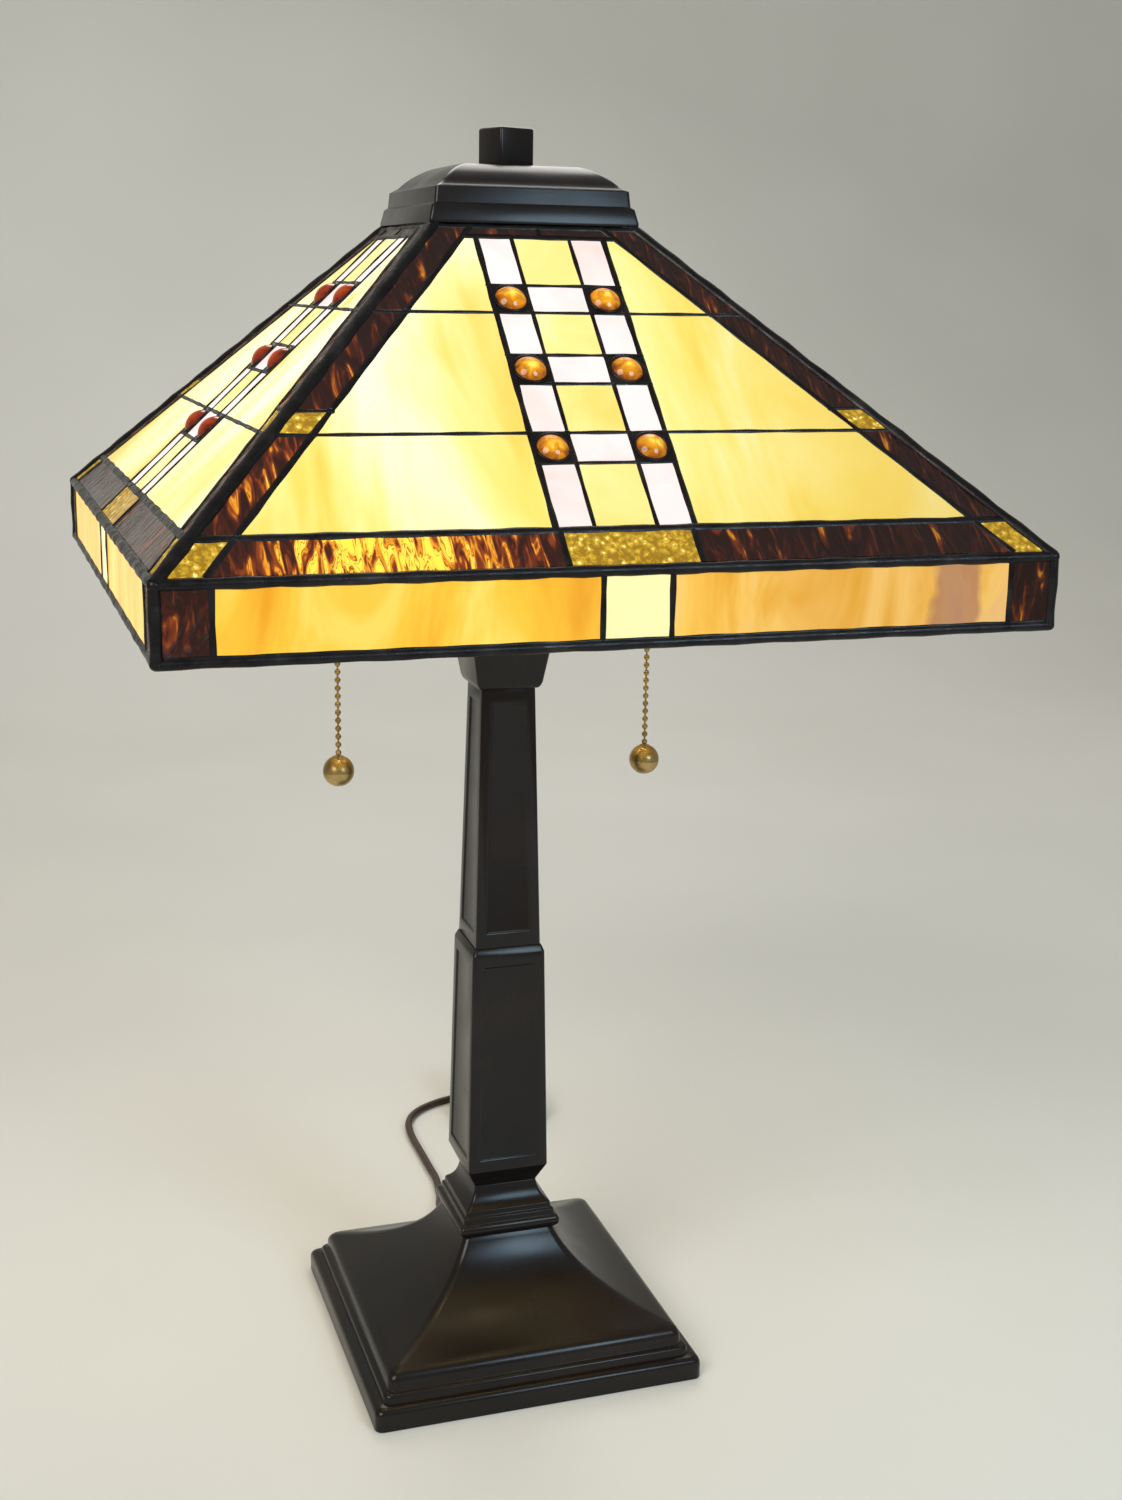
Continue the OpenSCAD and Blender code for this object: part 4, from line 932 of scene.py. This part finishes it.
# %% Brass, steel and iron
brass, shader = new_finish("antique brass", (0.42, 0.27, 0.1), 0.3, Metallic=1.0)
brass_at = stretched(brass)
vary_colour(brass, shader, noise(brass, brass_at, 90, 3),
            [(0.3, (0.3, 0.2, 0.075)), (0.5, (0.44, 0.31, 0.12)), (0.7, (0.52, 0.38, 0.17))])
vary_gloss(brass, shader, noise(brass, brass_at, 160, 2), 0.28, 0.4)
bump(brass, shader, noise(brass, brass_at, 500, 2), 0.1, 0.0003)
steel, shader = new_finish("zinc plated steel", (0.52, 0.52, 0.5), 0.34, Metallic=1.0)
vary_gloss(steel, shader, noise(steel, stretched(steel, (1, 1, 4)), 200, 2), 0.26, 0.46)
iron, shader = new_finish("raw cast iron", (0.09, 0.085, 0.08), 0.75, Metallic=0.6)
bump(iron, shader, noise(iron, stretched(iron), 300, 4, 0.7), 0.5, 0.0006)

# %% Felt, card and resin
felt, shader = new_finish("dark green felt", (0.012, 0.03, 0.018), 0.95)
vary_colour(felt, shader, noise(felt, stretched(felt), 1400, 3),
            [(0.35, (0.007, 0.018, 0.011)), (0.65, (0.02, 0.045, 0.028))])
bump(felt, shader, noise(felt, stretched(felt), 1600, 3), 0.5, 0.0004)
card, shader = new_finish("pressed card", (0.36, 0.27, 0.17), 0.85)
bump(card, shader, noise(card, stretched(card), 800, 3), 0.3, 0.0003)
resin, shader = new_finish("black moulded resin", (0.012, 0.01, 0.009), 0.28)
vary_gloss(resin, shader, noise(resin, stretched(resin), 120, 2), 0.2, 0.36)

# %% Lit bulb
bulb_neck, bulb_tip = 0.474, 0.55
bulb_white, shader = new_finish("lit bulb", (0.9, 0.85, 0.75), 0.35)
up_bulb = spread(bulb_white, along(bulb_white, "Z"), bulb_neck, bulb_tip, 0.0, 1.0)
bulb_glow = ramp(bulb_white, up_bulb, [(0.1, light(240, 160, 80)), (0.5, light(255, 226, 170)),
                                       (0.9, light(255, 240, 205))])
plug(bulb_white, bulb_glow, shader.inputs["Emission Color"])
shader.inputs["Emission Strength"].default_value = 3.0

# %% Finishes of the CAD parts that stay
kept = {bronze: ["cluster_body", "left_arm", "right_arm", "riser_stem"],
        brass: ["seat_nut", "left_socket_cap", "right_socket_cap", "left_socket_shell",
                "right_socket_shell", "screw_shells", "center_contacts", "bell_mouths", "left_pull_link",
                "right_pull_link", "left_pull_chain", "right_pull_chain", "shade_top_plate",
                "plug_blades"],
        steel: ["center_pipe", "bottom_washer", "bottom_nut", "left_bulb_base", "right_bulb_base"],
        iron: ["base_weight"], felt: ["base_felt"], card: ["socket_liners"], resin: ["switch_cores"],
        rubber: ["inner_cord"], bulb_white: ["left_bulb_glass", "right_bulb_glass"],
        opal: ["opal_panels"], white: ["white_tiles"], cream: ["cream_tiles"], brown: ["brown_glass"],
        gold: ["gold_glass"], mottled: ["skirt_amber_glass"]}
for finish, names in kept.items():
    for name in names:
        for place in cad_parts[name].material_slots:
            place.material = finish
finished = {name for names in kept.values() for name in names}
shown = {name for name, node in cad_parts.items() if not node.hide_render}
print("CAD parts still to be finished or replaced:", sorted(shown - finished))

# %% [markdown]
# Each chain ends in a hollow brass ball with a small collar where the chain
# goes in and a seam round its middle. A sphere gets a narrow groove at its
# middle and its top is drawn up into the collar.

# %% Pull balls
ball_radius, ball_high, collar_from, collar_top = 8.2, 8.25, 7.7, 8.0
groove_half, groove_cut = 0.28, 0.972
for name in ("left", "right"):
    low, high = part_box(name + "_pull_ball")
    middle = Vector(((low.x + high.x) / 2, (low.y + high.y) / 2, low.z + ball_high * mm))
    clear_bench()
    bpy.ops.mesh.primitive_uv_sphere_add(segments=40, ring_count=28, radius=ball_radius * mm)
    ball = fix_place()
    pick_faces(ball, lambda centre, normal: centre.z > collar_from * mm)
    extrude(0, 0, 0.3 * mm)
    resize(1, 1, 0, (0, 0, collar_top * mm))
    bpy.ops.object.mode_set(mode="OBJECT")
    pick_edges(ball, lambda a, b: max(abs(a.z), abs(b.z)) < 0.001 * mm)
    bpy.ops.mesh.bevel(offset=groove_half * mm, segments=2, affect="EDGES")
    bpy.ops.object.mode_set(mode="OBJECT")
    pick_edges(ball, lambda a, b: max(abs(a.z), abs(b.z)) < 0.05 * mm)
    resize(groove_cut, groove_cut, 1)
    bpy.ops.object.mode_set(mode="OBJECT")
    ball.data.transform(Matrix.Translation(middle))
    fit(smooth(ball, 40), name + "_ball", name + "_chain", "brass", brass, name + "_pull_ball")
    print(name, "ball at", [round(v, 4) for v in middle])

# %% [markdown]
# ## The studio
# A pale floor sweeps up into a pale wall behind the lamp. Two large soft
# lights stand at the left and the right, and the two bulbs light the column
# and the table from under the shade.

# %% Floor
floor_wide, wall_high, sweep_radius, back_y = 6, 3.2, 1.0, 2
paper, shader = new_finish("pale paper", (0.79, 0.78, 0.72), 0.7)
vary_colour(paper, shader, noise(paper, stretched(paper), 3, 2),
            [(0.3, (0.77, 0.76, 0.7)), (0.7, (0.81, 0.8, 0.74))])
clear_bench()
bpy.ops.mesh.primitive_plane_add(size=floor_wide, location=(0, -0.6, 0))
floor = fix_place()
pick_edges(floor, lambda a, b: min(a.y, b.y) > back_y)
extrude(0, 0, wall_high)
bpy.ops.object.mode_set(mode="OBJECT")
pick_edges(floor, lambda a, b: min(a.y, b.y) > back_y and max(a.z, b.z) < 0.1)
bpy.ops.mesh.bevel(offset=sweep_radius, segments=16, affect="EDGES")
bpy.ops.object.mode_set(mode="OBJECT")
floor.name = "floor"
floor.data.materials.append(paper)
smooth(floor, 60)
print("the wall stands", round(floor.dimensions.z, 2), "m high")

# %% Lights
def soft_light(name, at, towards, size, power, colour):
    lamp = bpy.data.objects.new(name, bpy.data.lights.new(name, "AREA"))
    bpy.context.scene.collection.objects.link(lamp)
    lamp.data.shape = "DISK"
    lamp.data.size = size
    lamp.data.energy = power
    lamp.data.color = colour
    lamp.location = at
    lamp.rotation_mode = "QUATERNION"
    lamp.rotation_quaternion = (Vector(towards) - Vector(at)).to_track_quat("-Z", "Y")


def bulb_light(name, x, power):
    glow = bpy.data.objects.new(name, bpy.data.lights.new(name, "POINT"))
    bpy.context.scene.collection.objects.link(glow)
    glow.location = (x * mm, 0, 520 * mm)
    glow.data.energy = power
    glow.data.color = (1.0, 0.78, 0.5)
    glow.data.shadow_soft_size = 33 * mm


soft_light("left window", (-1.3, -1.2, 1.5), (0, 0, 0.3), 1.2, 22, (1.0, 0.98, 0.95))
soft_light("right window", (0.55, -1.3, 1.0), (0, 0, 0.2), 0.6, 8, (0.55, 0.8, 1.0))
soft_light("back window", (0.5, 1.5, 1.9), (0, 0, 0.3), 1.2, 14, (1.0, 0.97, 0.92))
bulb_light("left bulb light", -67, 2.0)
bulb_light("right bulb light", 67, 1.1)
world = bpy.data.worlds.new("room")
bpy.context.scene.world = world
world.use_nodes = True
room = world.node_tree.nodes["Background"]
room.inputs["Color"].default_value = (0.9, 0.88, 0.84, 1)
room.inputs["Strength"].default_value = 0.35

# %% Clear the bench
clear_bench()
